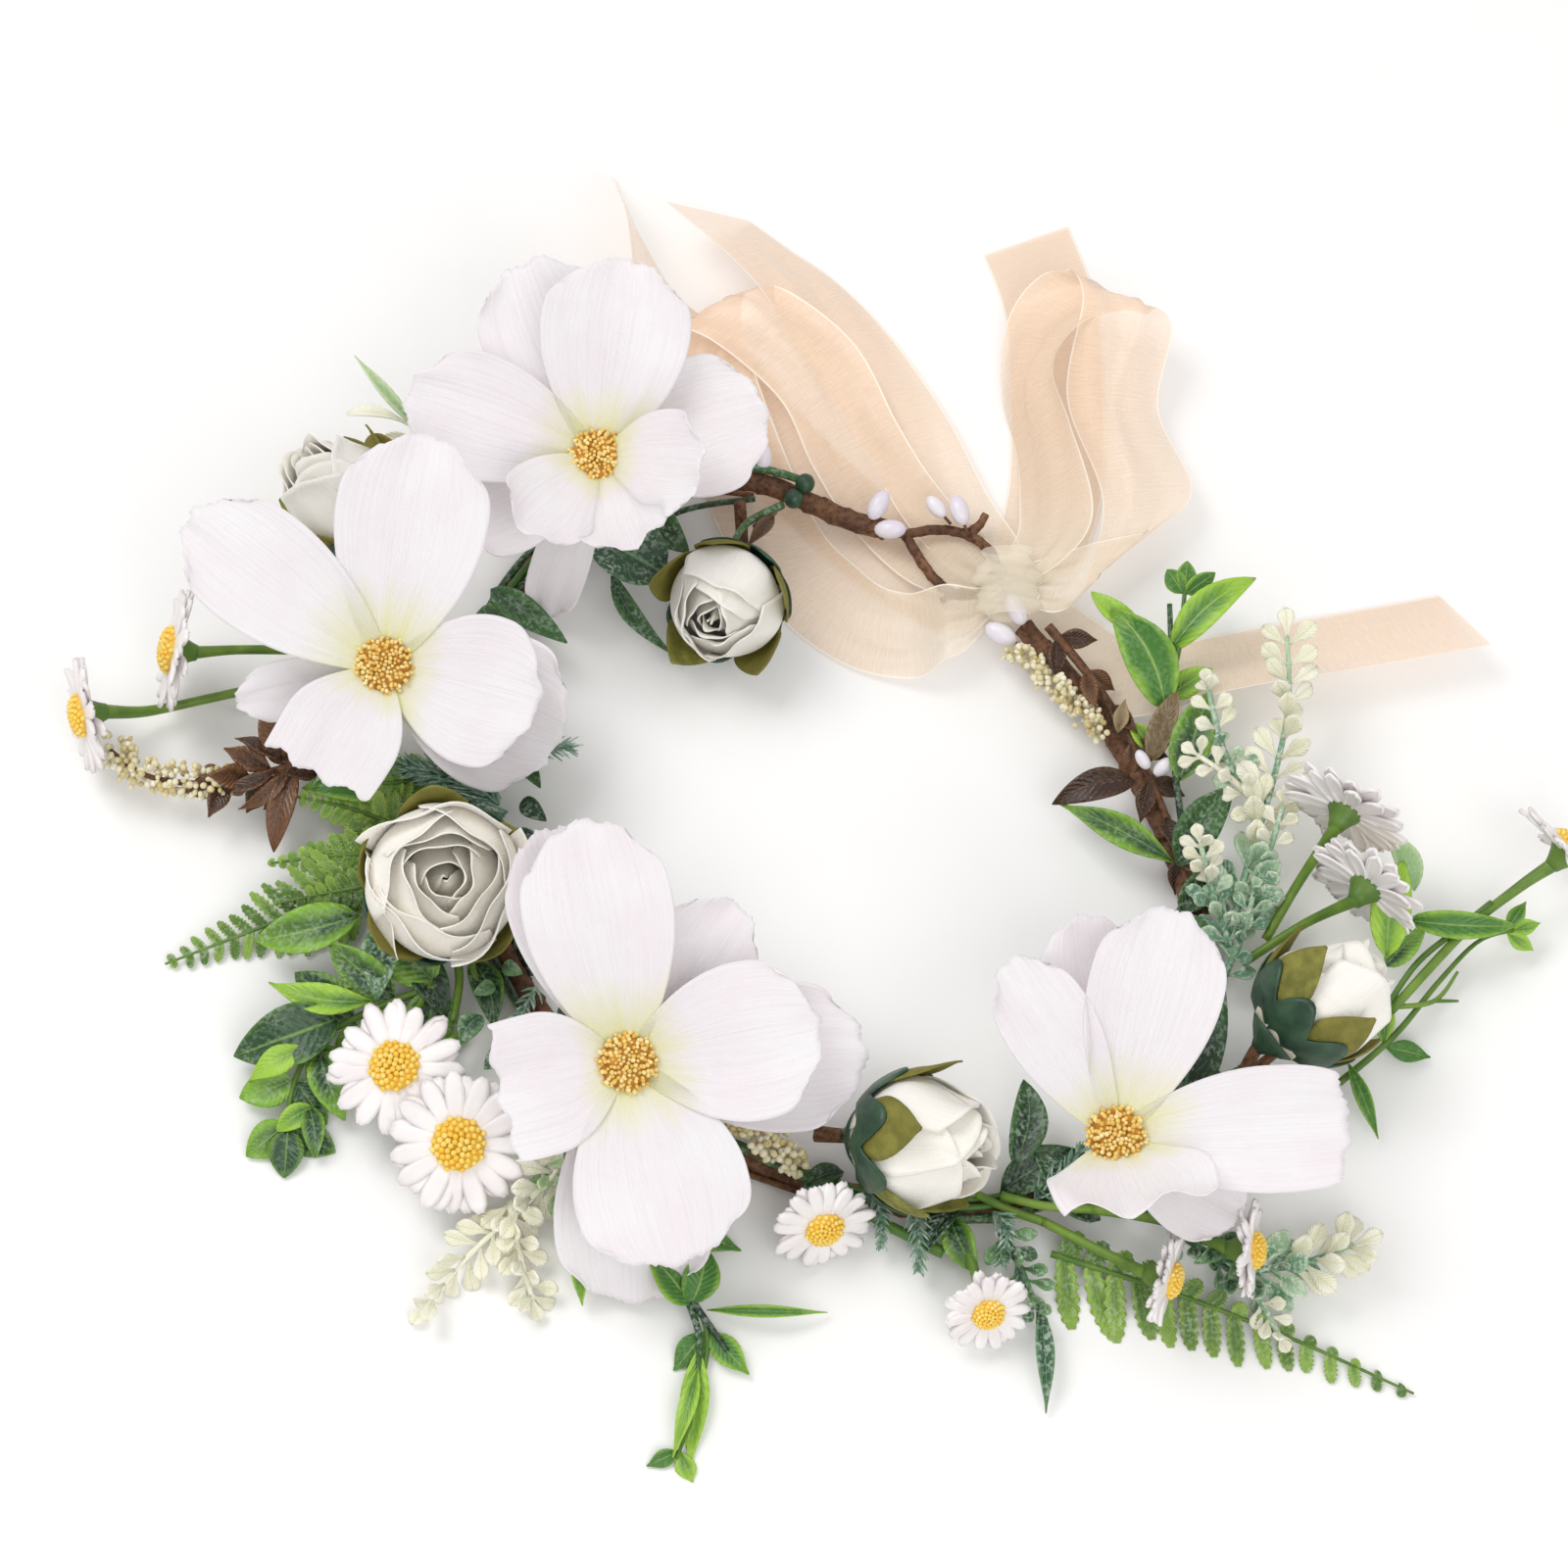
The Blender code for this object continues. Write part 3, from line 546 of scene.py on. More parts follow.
def wrapped_tube(shape, path, radius, sides, pitch=TAPE_PITCH, thinning=0.0):
    """A rod wound with tape: each turn's edge stands a little proud, and the surface is lumpy.

    thinning is the share of its radius that it loses by its end.
    """
    step = path_length(path) / (len(path) - 1)

    def winding(index, turn):
        place = path[index]
        turns = index * step / pitch + turn / (2 * math.pi)
        lap = 1.0 - (turns % 1.0)
        lump = noise.noise(place * 0.35 + Vector((math.cos(turn), math.sin(turn), 0)) * 0.6)
        return 1.0 + TAPE_RIDGE * (lap ** 3 - 0.3) + 0.10 * lump

    last = len(path) - 1
    radii = [radius * (1.0 - thinning * i / last) for i in range(last + 1)]
    shape.tube(path, radii, sides, swell=winding)


def build_hoop():
    """The taped hoop, its end eye and the twig ends, over the CAD's core wire."""
    hoop = Shape()
    wrapped_tube(hoop, even_path(HOOP_PATH, 760), HOOP_RADIUS, 18)
    piece = hoop.build("tape_wrapped_hoop", [MAT["tape"]])
    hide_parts("tape_wrap_right", "tape_wrap_front", "tape_wrap_back")
    eye = Shape()
    wrapped_tube(eye, even_path(EYE_PATH, 160), EYE_RADIUS, 12, FINE_PITCH)
    for twig in TWIG_PATHS:
        wrapped_tube(eye, even_path(twig, 24), TWIG_RADIUS, 10, pitch=4.0, thinning=0.35)
    piece = eye.build("end_eye_wrapped", [MAT["tape"]])
    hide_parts("hoop_end_eye")
    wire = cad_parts["hoop_core_wire"]
    wire.data.materials.clear()
    wire.data.materials.append(MAT["wire"])


# ---------------------------------------------------------------- ribbon

RIBBON_WIDTH = 25.0
# Stations of each run: place, heading of its width in degrees, and tilt of its width.
RIBBONS = {
    "ribbon_loop_left": [
        (44, 67, 12, 75, 0), (36, 61, 11.4, 80, 0), (29, 60, 10.9, 88, 0), (20, 59.5, 4, 92, 0),
        (5, 66, 1.6, 64, 0), (-12, 84, 1.6, 20, 0), (-23, 108, 2.6, 8, 0), (-31, 130, 5, 15, 15),
        (-35, 147, 7, 25, 10), (-32, 154, 10, 30, 0), (-22, 151, 12.5, 38, 0), (-4, 134, 12, 38, 8),
        (6, 114, 8, 26, 14), (15, 99, 5, 36, 8), (25, 87, 4.2, 45, 0), (36, 76, 8, 45, 0),
        (43, 73, 11, 60, 0),
    ],
    "ribbon_loop_right": [
        (48, 72, 14, -30, 20), (53, 78, 14, -25, 25), (58, 90, 12, -8, 40), (55, 112, 12, 5, 60),
        (51, 130, 12.5, 0, 60), (57, 149, 12, -25, 34), (70, 157, 14, -30, 0), (78, 149, 18, -20, -5),
        (74, 124, 13, 0, -12), (82, 97, 12, 14, -8), (74, 78, 13, 42, 0), (60, 70, 15, 70, 0),
        (49, 70, 13, 80, 0),
    ],
    "ribbon_tail_far_left": [
        (41, 69, 4, 60, 0), (30, 74, 0.4, 60, 0), (8, 92, 0.4, 50, 0), (-16, 118, 0.4, 42, 0),
        (-34, 142, 1.2, 30, 0), (-42, 152, 7, 27, -34), (-48, 163, 12, 24, -64), (-53, 178, 13, 20, -78),
        (-58, 193, 12.6, 20, -84),
    ],
    "ribbon_tail_left": [
        (44, 74, 8, 10, 0), (39, 83, 4.6, 10, 0), (29, 98, 4.6, 8, 0), (19, 120, 4.4, 12, 0),
        (5, 145, 4.4, 24, -8), (-6, 160, 7, 38, -24), (-18, 171, 9, 46, -38), (-33, 185, 9.2, 40, -42),
    ],
    "ribbon_tail_short": [
        (48, 74, 5, 0, 0), (53, 82, 0.6, 0, 0), (59, 105, 0.4, 0, 0), (60, 135, 0.4, 0, 0),
        (59, 160, 0.4, 8, 0), (53, 181, 0.4, 15, 0),
    ],
    "ribbon_tail_right": [
        (48, 69, 6, 40, 0), (55, 62, 2, 40, 0), (63, 54, 1.5, 44, 0), (72, 48, 2.5, 58, -8),
        (84, 47, 5, 80, -20), (99, 50, 6.4, 94, -28), (130, 56, 6.4, 100, -28), (163, 63, 6.4, 102, -28),
    ],
}
SLANTS = {                # how far one corner of a tail's cut end runs ahead of its middle
    "ribbon_tail_left": -5.5, "ribbon_tail_right": -3.0, "ribbon_tail_short": 1.5,
    "ribbon_tail_far_left": 9.0,
}
KNOT_PALENESS = 34.0     # distance from the knot over which the ribbon looks paler
GATHER_REACH = 15.0      # distance from the knot over which the ribbon is drawn together
GATHERED_WIDTH = 0.4     # share of the ribbon's width that is left at the knot
GATHER_DEPTH = 1.3       # height of the gathers at the knot


def build_ribbon(name, stations):
    """One run of organza: a single surface with soft ripples across it, and its end cut at a slant."""
    slant = SLANTS.get(name, 0.0)
    knot = middle_of("ribbon_knot")
    steps, across = 14, 20
    centres = smooth_path([s[:3] for s in stations], steps)
    turns = smooth_path([(s[3], s[4], 0) for s in stations], steps)
    ways = tangents(centres)
    last = len(centres) - 1
    phase = len(name) * 1.7
    shape = Shape()
    rows = []
    for index, (centre, turn, way) in enumerate(zip(centres, turns, ways)):
        heading, tilt = math.radians(turn.x), math.radians(turn.y)
        wide = around(Vector((math.cos(heading), math.sin(heading), 0)), UP, tilt)
        normal = way.cross(wide).normalized()
        if normal.z < 0:
            normal = -normal
        lively = math.sin(math.pi * index / last)
        drawn = math.exp(-((centre - knot).length / GATHER_REACH) ** 2)
        half = RIBBON_WIDTH / 2 * (1 - (1 - GATHERED_WIDTH) * drawn)
        row = []
        for column in range(across + 1):
            v = 2 * column / across - 1
            ripple = 0.7 * math.sin(3.1 * v + index * 0.09 + phase) + 0.4 * math.sin(7 * v - index * 0.13)
            crease = 0.8 * math.exp(-((v - 0.5 * math.sin(index * 0.05 + phase)) / 0.09) ** 2)
            lift = min(max(centre.z - 0.6, 0.0), 2.0)
            skew = way * (slant * v * smoothstep(0.75, 1.0, index / last))
            gather = GATHER_DEPTH * drawn * math.sin(11 * v + phase)
            height = (ripple + crease) * lively * lift * 0.6 + gather
            spot = centre + wide * (v * half) + skew + normal * height
            row.append(Vector((spot.x, spot.y, max(spot.z, 0.15))))
        rows.append(row)
    pale = [math.exp(-(centre - knot).length / KNOT_PALENESS) for centre in centres]
    shape.grid(rows, tone=pale)
    piece = shape.build(name + "_cloth", [MAT["organza"]])
    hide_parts(name)


def build_knot():
    """The bow's knot: the ribbon drawn round the middle in gathered folds."""
    low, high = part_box("ribbon_knot")
    centre = middle_of("ribbon_knot")
    size = (high - low) / 2 / MM
    shape = Shape()
    rings, sides = 26, 40
    rows = []
    for r in range(rings + 1):
        u = 2 * r / rings - 1
        row = []
        for s in range(sides):
            turn = 2 * math.pi * s / sides
            fold = 0.13 * math.sin(7 * u + 1.6 * math.sin(turn)) + 0.08 * math.sin(15 * u - 2 * turn)
            reach = (1.0 - 0.32 * abs(u) ** 2.2) * (1.0 + fold)
            row.append(centre + Vector((
                size.x * reach * math.cos(turn), size.y * 0.98 * u, size.z * reach * math.sin(turn),
            )))
        rows.append(row)
    shape.grid(rows, tone=1.0, wrap=True)
    piece = shape.build("ribbon_knot_cloth", [MAT["organza"]])
    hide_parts("ribbon_knot")


# ---------------------------------------------------------------- petals and heads

def petal(shape, origin, along, forward, size, rises, outline, tone, seed):
    """One cloth petal that grows from origin.

    size is its length and width. The midline rises by the first of rises, in degrees, at the base and by
    the second at the tip. outline holds the widths of its claw and shoulder, by the greatest width, how
    far its tip is rounded off, and the size of its notches and ripples.
    """
    across = forward.cross(along)
    length, width = size
    start, end = rises
    claw, shoulder, ripple = outline["claw"], outline["shoulder"], outline["ripple"]
    spot = Vector(origin)
    rows, columns = 26, 40
    grid = []
    for r in range(rows + 1):
        u = r / rows
        rise = math.radians(start + (end - start) * u)
        step = around(along, forward, rise)
        normal = around(forward, -along, rise)
        if r:
            spot = spot + step * (length / rows)
        if u < WIDEST:
            breadth = claw + (1 - claw) * math.sin(math.pi / 2 * (u / WIDEST) ** 0.95)
        else:
            breadth = 1.0 - (1 - shoulder) * ((u - WIDEST) / (1 - WIDEST)) ** 2.6
        half = width / 2 * breadth
        row = []
        for c in range(columns + 1):
            v = 2 * c / columns - 1
            lobes = outline["notch"] * math.cos(3.2 * math.pi * v + seed)
            lobes += 0.014 * noise.noise(Vector((v * 5, seed, 0)))
            lobes += DECKLE * noise.noise(Vector((v * 31, seed, 3)))
            back = (outline["roundness"] * abs(v) ** 2.2 - lobes) * length * u ** 5
            edge = ripple * abs(v) ** 2.5 * u * math.sin(7.5 * u + seed * 2.1 + (1.7 if v > 0 else 0.0))
            flute = ripple * 0.7 * u ** 5 * math.sin(6.0 * v + seed)
            crease = -0.5 * u * math.exp(-((v - 0.33 * math.sin(seed)) / 0.14) ** 2)
            bowl = CUP * half * (v * v - 0.3)
            row.append(spot + across * (half * v) - step * back + normal * (bowl + edge + flute + crease))
        grid.append(row)
    shape.grid(grid, tone=tone)


PETAL_CLOTH = 0.35
WIDEST = 0.66            # where a petal is widest, by its length
DECKLE = 0.018           # raggedness of a petal's cut tip, by its length
CUP = 0.18               # depth of a petal's hollow, by half its width
BACK_DROP = 3.0          # from the front whorl down to the back one
STAMEN_RADIUS = 7.2
STAMEN_GRAINS = 150
STEM_RADIUS = 1.4
ROUNDED = {"claw": 0.2, "shoulder": 0.76, "roundness": 0.15, "notch": 0.009, "ripple": 1.3}
FAN = {**ROUNDED, "claw": 0.16, "shoulder": 0.98, "roundness": 0.02, "notch": 0.03}
BLUNT = {**ROUNDED, "shoulder": 0.86, "roundness": 0.06}
CURLED = {**ROUNDED, "shoulder": 0.9, "roundness": 0.08, "ripple": 3.0}
# Each petal is (angle anticlockwise from the right, length, width, rise at the base, rise at the tip), and
# its outline where it isn't rounded.
COSMOS = {
    "back": {
        "facing": (0.0, -0.42, 0.91),
        "front": [(81, 50, 38, 22, 6), (162, 50, 32, 22, 4), (230, 38, 26, 50, 50), (293, 40, 24, 42, 62),
                  (350, 42, 28, 48, 56)],
        "back": [(110, 52, 36, 12, 0), (16, 44, 36, 10, 14), (202, 38, 30, 8, -12), (250, 44, 15, 10, -40)],
    },
    "left": {
        "facing": (0.0, -0.42, 0.91),
        "front": [(142, 60, 31, 25, 4), (78, 58, 38, 22, 6), (345, 40, 38, 25, 6),
                  (240, 33, 30, 32, 18, FAN)],
        "back": [(338, 46, 40, 10, -4), (194, 37, 15, 8, 10)],
    },
    "front": {
        "facing": (0.0, -0.42, 0.91),
        "front": [(100, 59, 36, 22, 6), (11, 47, 38, 25, 4), (286, 49, 42, 25, 2),
                  (193, 31, 34, 30, 12, FAN)],
        "back": [(2, 56, 36, 8, -6), (272, 57, 38, 4, -8), (110, 58, 30, 8, 0), (55, 45, 26, 10, 0)],
    },
    "right": {
        "facing": (0.05, -0.28, 0.95),
        "front": [(76, 55, 32, 22, 10), (123, 49, 22, 25, 6), (2, 54, 30, 22, 2, BLUNT),
                  (279, 32, 40, 48, 72, CURLED)],
        "back": [(98, 52, 28, 10, 4), (328, 34, 24, 8, -4)],
    },
}


def build_stamens(name, head, facing):
    """A cushion of golden grains over a dark bed."""
    radius = STAMEN_RADIUS
    right, up, forward = axes_of(facing)
    draw = random.Random(name)
    shape = Shape()
    bed = [(radius * 0.55, -0.4), (radius * 0.92, 0.6), (radius * 0.9, 2.0), (radius * 0.55, 3.3)]
    shape.lathe(head, forward, bed, 20, slot=1)
    for index in range(STAMEN_GRAINS):
        share = (index + 0.5) / STAMEN_GRAINS
        reach = radius * math.sqrt(share) * 1.02
        turn = index * GOLDEN_ANGLE + draw.uniform(-0.15, 0.15)
        lift = 3.6 - 2.4 * share ** 1.6 + draw.uniform(-0.5, 0.7)
        out = around(right, up, turn)
        axis = (forward + out * (0.9 * share + draw.uniform(-0.25, 0.25))).normalized()
        place = head + out * reach + forward * lift
        shape.bead(place, axis, draw.uniform(0.46, 0.72), draw.uniform(1.2, 2.3), 6, 3,
                   tone=draw.random() ** 2)
    piece = shape.build(name + "_cushion", [MAT["stamen"], MAT["stamen_dark"]])
    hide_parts(name)


def build_cosmos(label, plan):
    """A cosmos head round its CAD stamens: petals, stamens, calyx and stem."""
    prefix = "cosmos_" + label
    facing = Vector(plan["facing"]).normalized()
    head = middle_of(prefix + "_stamens") - FACING * 3.4
    right, up, forward = axes_of(facing)
    for layer, depth in (("front", 0.0), ("back", BACK_DROP)):
        shape = Shape()
        for index, (angle, length, width, start, end, *changed) in enumerate(plan[layer]):
            theta = math.radians(angle)
            along = around(right, up, theta)
            origin = head - forward * depth + along * 1.5
            outline = changed[0] if changed else ROUNDED
            petal(shape, origin, along, forward, (length, width), (start, end), outline,
                  tone=(angle * 0.013) % 1.0, seed=angle * 0.37 + index)
        piece = shape.build(f"{prefix}_{layer}_cloth", [MAT["cosmos"]], thickness=PETAL_CLOTH)
        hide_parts(f"{prefix}_{layer}_petals")
    build_stamens(prefix + "_stamens", head + forward * 0.8, facing)
    shape = Shape()
    low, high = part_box(prefix + "_stem")
    foot = Vector(((low.x + high.x) / 2, (low.y + high.y) / 2, low.z)) / MM
    top = head - forward * (BACK_DROP + 0.8)
    neck = top - forward * 9
    path = smooth_path([foot, foot.lerp(neck, 0.5), neck, top - forward * 4], 5)
    shape.tube(path, STEM_RADIUS, 10, tone=0.3)
    cup = [(1.5, -6), (2.4, -4.5), (4.6, -2.0), (5.6, 0.0), (4.0, 0.3)]
    shape.lathe(top, forward, cup, 16, tone=0.4)
    piece = shape.build(prefix + "_stalk", [MAT["stem"]])
    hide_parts(prefix + "_stem")


# ---------------------------------------------------------------- buds

# Each bud: the way it looks, its radius and half height, the foot of its stem, and whether it has opened.
BUDS = {
    "ranunculus_left": {"axis": (0.1, -0.35, 0.93), "size": (19, 14), "foot": (-96, -12, 7.5), "open": True},
    "rosebud_front": {"axis": (0.85, -0.2, 0.36), "size": (16, 18), "foot": (-4, -78, 8), "open": False},
    "rosebud_inner": {"axis": (-0.25, -0.7, 0.65), "size": (15, 15), "foot": (-24, 94, 13), "open": False},
    "rosebud_back": {"axis": (-0.6, 0.3, 0.7), "size": (14.5, 17), "foot": (-114, 80, 4), "open": False},
    "rosebud_right": {"axis": (0.76, 0.5, 0.3), "size": (14.5, 17), "foot": (98, -68, 8), "open": False},
}


def bud_profile(t):
    """A bud's girth at a share of its height, full in the lower half."""
    return math.sin(math.pi * min(max(t * 0.90 + 0.07, 0.0), 1.0)) ** 0.6


def wrap_petal(shape, centre, axes, radius, half, turn, layer, tone, seed):
    """A petal wrapped round a bud of the given radius and half height.

    layer is its girth, the angle it covers on either side of turn, the height of its rim and the girth
    that the rim closes to, by the bud's size.
    """
    right, up, forward = axes
    size, span, top, mouth = layer
    rows, columns = 18, 22
    grid = []
    for r in range(rows + 1):
        row = []
        for c in range(columns + 1):
            v = 2 * c / columns - 1
            rim = top * (1.0 - 0.16 * abs(v) ** 2.2 + 0.012 * math.sin(4 * v + seed))
            t = 0.03 + (rim - 0.03) * r / rows
            closing = smoothstep(0.42, 1.0, t / top)
            mouth_here = mouth * (1 + 0.34 * v * v + 0.08 * math.sin(5 * v + seed))
            girth = size * bud_profile(min(t, 0.5)) * (1 - closing) + mouth_here * closing
            girth += 0.045 * v * (1 - 0.4 * closing) + 0.04 * smoothstep(0.88, 1.0, r / rows) * (1 - abs(v))
            theta = turn + span * v
            out = around(right, up, theta)
            row.append(centre + out * (radius * girth) + forward * (half * (2 * t - 1)))
        grid.append(row)
    shape.grid(grid, tone=tone)


# Layers of wrapped petals, outside first: (girth, half angle, height of the rim, girth of the rim), count.
OPEN_LAYERS = [
    ((1.00, 1.05, 0.80, 0.82), 3), ((0.99, 1.10, 0.90, 0.64), 4), ((0.90, 1.10, 0.93, 0.50), 3),
    ((0.72, 1.20, 0.92, 0.36), 3), ((0.50, 1.40, 0.90, 0.20), 3), ((0.26, 1.80, 0.88, 0.01), 2),
]
LOOSE_LAYER = (1.10, 0.70, 0.62, 0.84)    # the one petal that has come away from the open bud
CLOSED_LAYERS = [
    ((1.00, 1.05, 0.88, 0.60), 3), ((0.97, 1.10, 0.95, 0.42), 3), ((0.78, 1.20, 0.96, 0.28), 3),
    ((0.50, 1.40, 0.95, 0.15), 3), ((0.24, 1.80, 0.94, 0.01), 2),
]


def build_bud(name, plan):
    """A bud: wrapped cloth petals, felt sepals, calyx and stem."""
    centre = middle_of(name + "_bloom")
    axes = axes_of(plan["axis"])
    radius, half = plan["size"]
    layers = OPEN_LAYERS if plan["open"] else CLOSED_LAYERS
    draw = random.Random(name)
    shape = Shape()
    for depth, (layer, count) in enumerate(layers):
        start = draw.uniform(0, 6.28)
        for k in range(count):
            turn = start + 2 * math.pi * k / count + draw.uniform(-0.25, 0.25)
            girth, span, top, mouth = layer
            uneven = (girth, span, top * draw.uniform(0.95, 1.02), mouth * draw.uniform(0.86, 1.12))
            wrap_petal(shape, centre, axes, radius, half, turn, uneven, depth / len(layers),
                       draw.uniform(0, 6))
    if plan["open"]:
        wrap_petal(shape, centre, axes, radius, half, math.radians(200), LOOSE_LAYER, 0.0, 2.0)
    piece = shape.build(name + "_petals", [MAT["ivory"]], thickness=BUD_CLOTH)
    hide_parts(name + "_bloom")
    build_sepals(name, centre, axes, radius, half, Vector(plan["foot"]), draw)


BUD_CLOTH = 0.3
SEPAL_FELT = 0.5
SEPALS = 5
SEPAL_START = 0.16       # where the felt sepals come out of the calyx, by the bud's height
SEPAL_ANGLE = 0.42       # half the angle that a sepal covers
SEPAL_GAP = 1.5          # between the bud and a sepal
CALYX_THICKNESS = 0.6
CALYX_FINGERS = 7


def hugging_blade(shape, centre, axes, radius, half, turn, length, flare, tone):
    """A pointed felt sepal that lies close over a bud and leans out by flare at its tip."""
    right, up, forward = axes
    rows, columns = 14, 8
    grid = []
    for r in range(rows + 1):
        u = r / rows
        t = SEPAL_START + (length - SEPAL_START) * u
        girth = radius * (bud_profile(min(t, 0.5)) + flare * smoothstep(0.5, 1.0, u))
        girth += SEPAL_GAP * (0.7 + 0.9 * u)
        pointed = 1.0 - max((u - 0.35) / 0.65, 0.0) ** 1.5
        reach = SEPAL_ANGLE * max(1.15 * pointed, 0.04)
        row = []
        for c in range(columns + 1):
            v = 2 * c / columns - 1
            theta = turn + reach * v
            out = around(right, up, theta)
            row.append(centre + out * girth + forward * (half * (2 * t - 1)))
        grid.append(row)
    shape.grid(grid, tone=tone)


def build_sepals(name, centre, axes, radius, half, foot, draw):
    """Pointed felt sepals that hug the bud, the moulded calyx over them and the stem."""
    right, up, forward = axes
    felt = Shape()
    for k in range(SEPALS):
        turn = 2 * math.pi * (k + 0.25) / SEPALS + draw.uniform(-0.15, 0.15)
        hugging_blade(felt, centre, axes, radius, half, turn, draw.uniform(0.58, 0.74),
                      draw.uniform(0.0, 0.10), draw.random())
    piece = felt.build(name + "_sepal_felt", [MAT["sepal"]], thickness=SEPAL_FELT)
    calyx = Shape()
    rows, columns = 9, 84
    grid = []
    for r in range(rows):
        row = []
        for c in range(columns):
            theta = 2 * math.pi * c / columns
            finger = abs(math.cos(CALYX_FINGERS * theta / 2)) ** 1.4
            t = (0.20 + 0.20 * finger) * r / (rows - 1)
            girth = radius * bud_profile(t) * (0.45 + 0.55 * min(r / 3, 1.0)) + 2.2
            out = around(right, up, theta)
            row.append(centre + out * girth + forward * (half * (2 * t - 1)))
        grid.append(row)
    calyx.grid(grid, tone=0.4, wrap=True)
    piece = calyx.build(name + "_calyx_cup", [MAT["calyx"]], thickness=CALYX_THICKNESS)
    seat = centre - forward * half
    stalk = Shape()
    cup = [(1.6, -4.5), (2.6, -3.2), (radius * 0.38, -1.2), (radius * 0.52, 0.8), (radius * 0.4, 1.6)]
    stalk.lathe(seat, forward, cup, 16, slot=0)
    neck = seat - forward * 4
    path = smooth_path([foot, foot.lerp(neck, 0.5) - forward, neck, seat - forward * 2], 5)
    stalk.tube(path, 1.6, 10, slot=1)
    piece = stalk.build(name + "_calyx", [MAT["calyx"], MAT["tape"]])
    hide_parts(name + "_sepals")


# ---------------------------------------------------------------- daisies

# Each daisy: centre of its head, the way it looks, radius of its rays, and stations of its stem.
DAISIES = {
    "daisy_left_outer": (
        (-189, 30, 18), (-0.93, -0.3, 0.2), 15, [(-140, 44, 9), (-160, 41, 5), (-175, 36, 8)],
    ),
    "daisy_left_inner": ((-167, 47, 21), (-0.95, 0.0, 0.3), 16, [(-139, 52, 11), (-152, 50, 15)]),
    "daisy_front_left_upper": ((-107, -65, 18), (-0.1, -0.15, 0.98), 17, [(-92, -50, 3), (-101, -58, 6)]),
    "daisy_front_left_lower": ((-91, -84, 16), (0.0, -0.42, 0.91), 18, [(-76, -64, 3), (-84, -73, 5)]),
    "daisy_front_middle": ((-3, -104, 13), (0.25, -0.85, 0.45), 13, [(-4, -98.5, 7.6), (-4, -99, 9)]),
    "daisy_front_right_a": ((79, -118, 15), (0.93, -0.3, 0.1), 12, [(50, -101, 8), (64, -109, 9)]),
    "daisy_front_right_b": ((99, -111, 16), (0.97, -0.1, 0.2), 12, [(62, -99, 11), (80, -103, 13)]),
    "daisy_front_right_c": ((36, -125, 12), (0.2, -0.8, 0.55), 11, [(30, -103, 5), (33, -112, 7)]),
    "daisy_right_upper": ((126, -2, 31), (0.5, 0.86, 0.0), 17, [(107, -28, 10), (115, -16, 18)]),
    "daisy_right_lower": ((131, -20, 25), (0.62, 0.76, -0.1), 16, [(101, -34, 9), (116, -26, 15)]),
    "daisy_far_right": (
        (182, -8, 20), (0.7, 0.6, 0.4), 15, [(137, -47, 10), (156, -27, 13), (170, -16, 15)],
    ),
}


RAY_START = 2.5          # from a daisy's middle to where its rays begin
RAY_THICKNESS = 0.7
RAY_RINGS = [(15, 1.0, 0.0), (13, 0.94, 0.9)]    # number of rays, their length, and how far they lie below
BUTTON_GRAINS = 64


def daisy_ray(shape, hub, along, forward, length, width, droop, tone):
    """One moulded ray: a spoon with two shallow grooves and a round tip."""
    across = forward.cross(along)
    rows, columns = 8, 6
    grid = []
    for r in range(rows + 1):
        u = r / rows
        half = width / 2 * (0.45 + 0.55 * math.sin(math.pi / 2 * min(u / 0.7, 1.0)))
        half *= math.sqrt(max(1.0 - max((u - 0.72) / 0.29, 0.0) ** 2, 0.02))
        fall = droop * u * u
        row = []
        for c in range(columns + 1):
            v = 2 * c / columns - 1
            groove = 0.22 * math.cos(2 * math.pi * v) * (1 - u * 0.5)
            spot = hub + along * (RAY_START + (length - RAY_START) * u) + across * (half * v)
            row.append(spot + forward * (0.54 * (1 - v * v) - groove - fall))
        grid.append(row)
    shape.grid(grid, tone=tone)


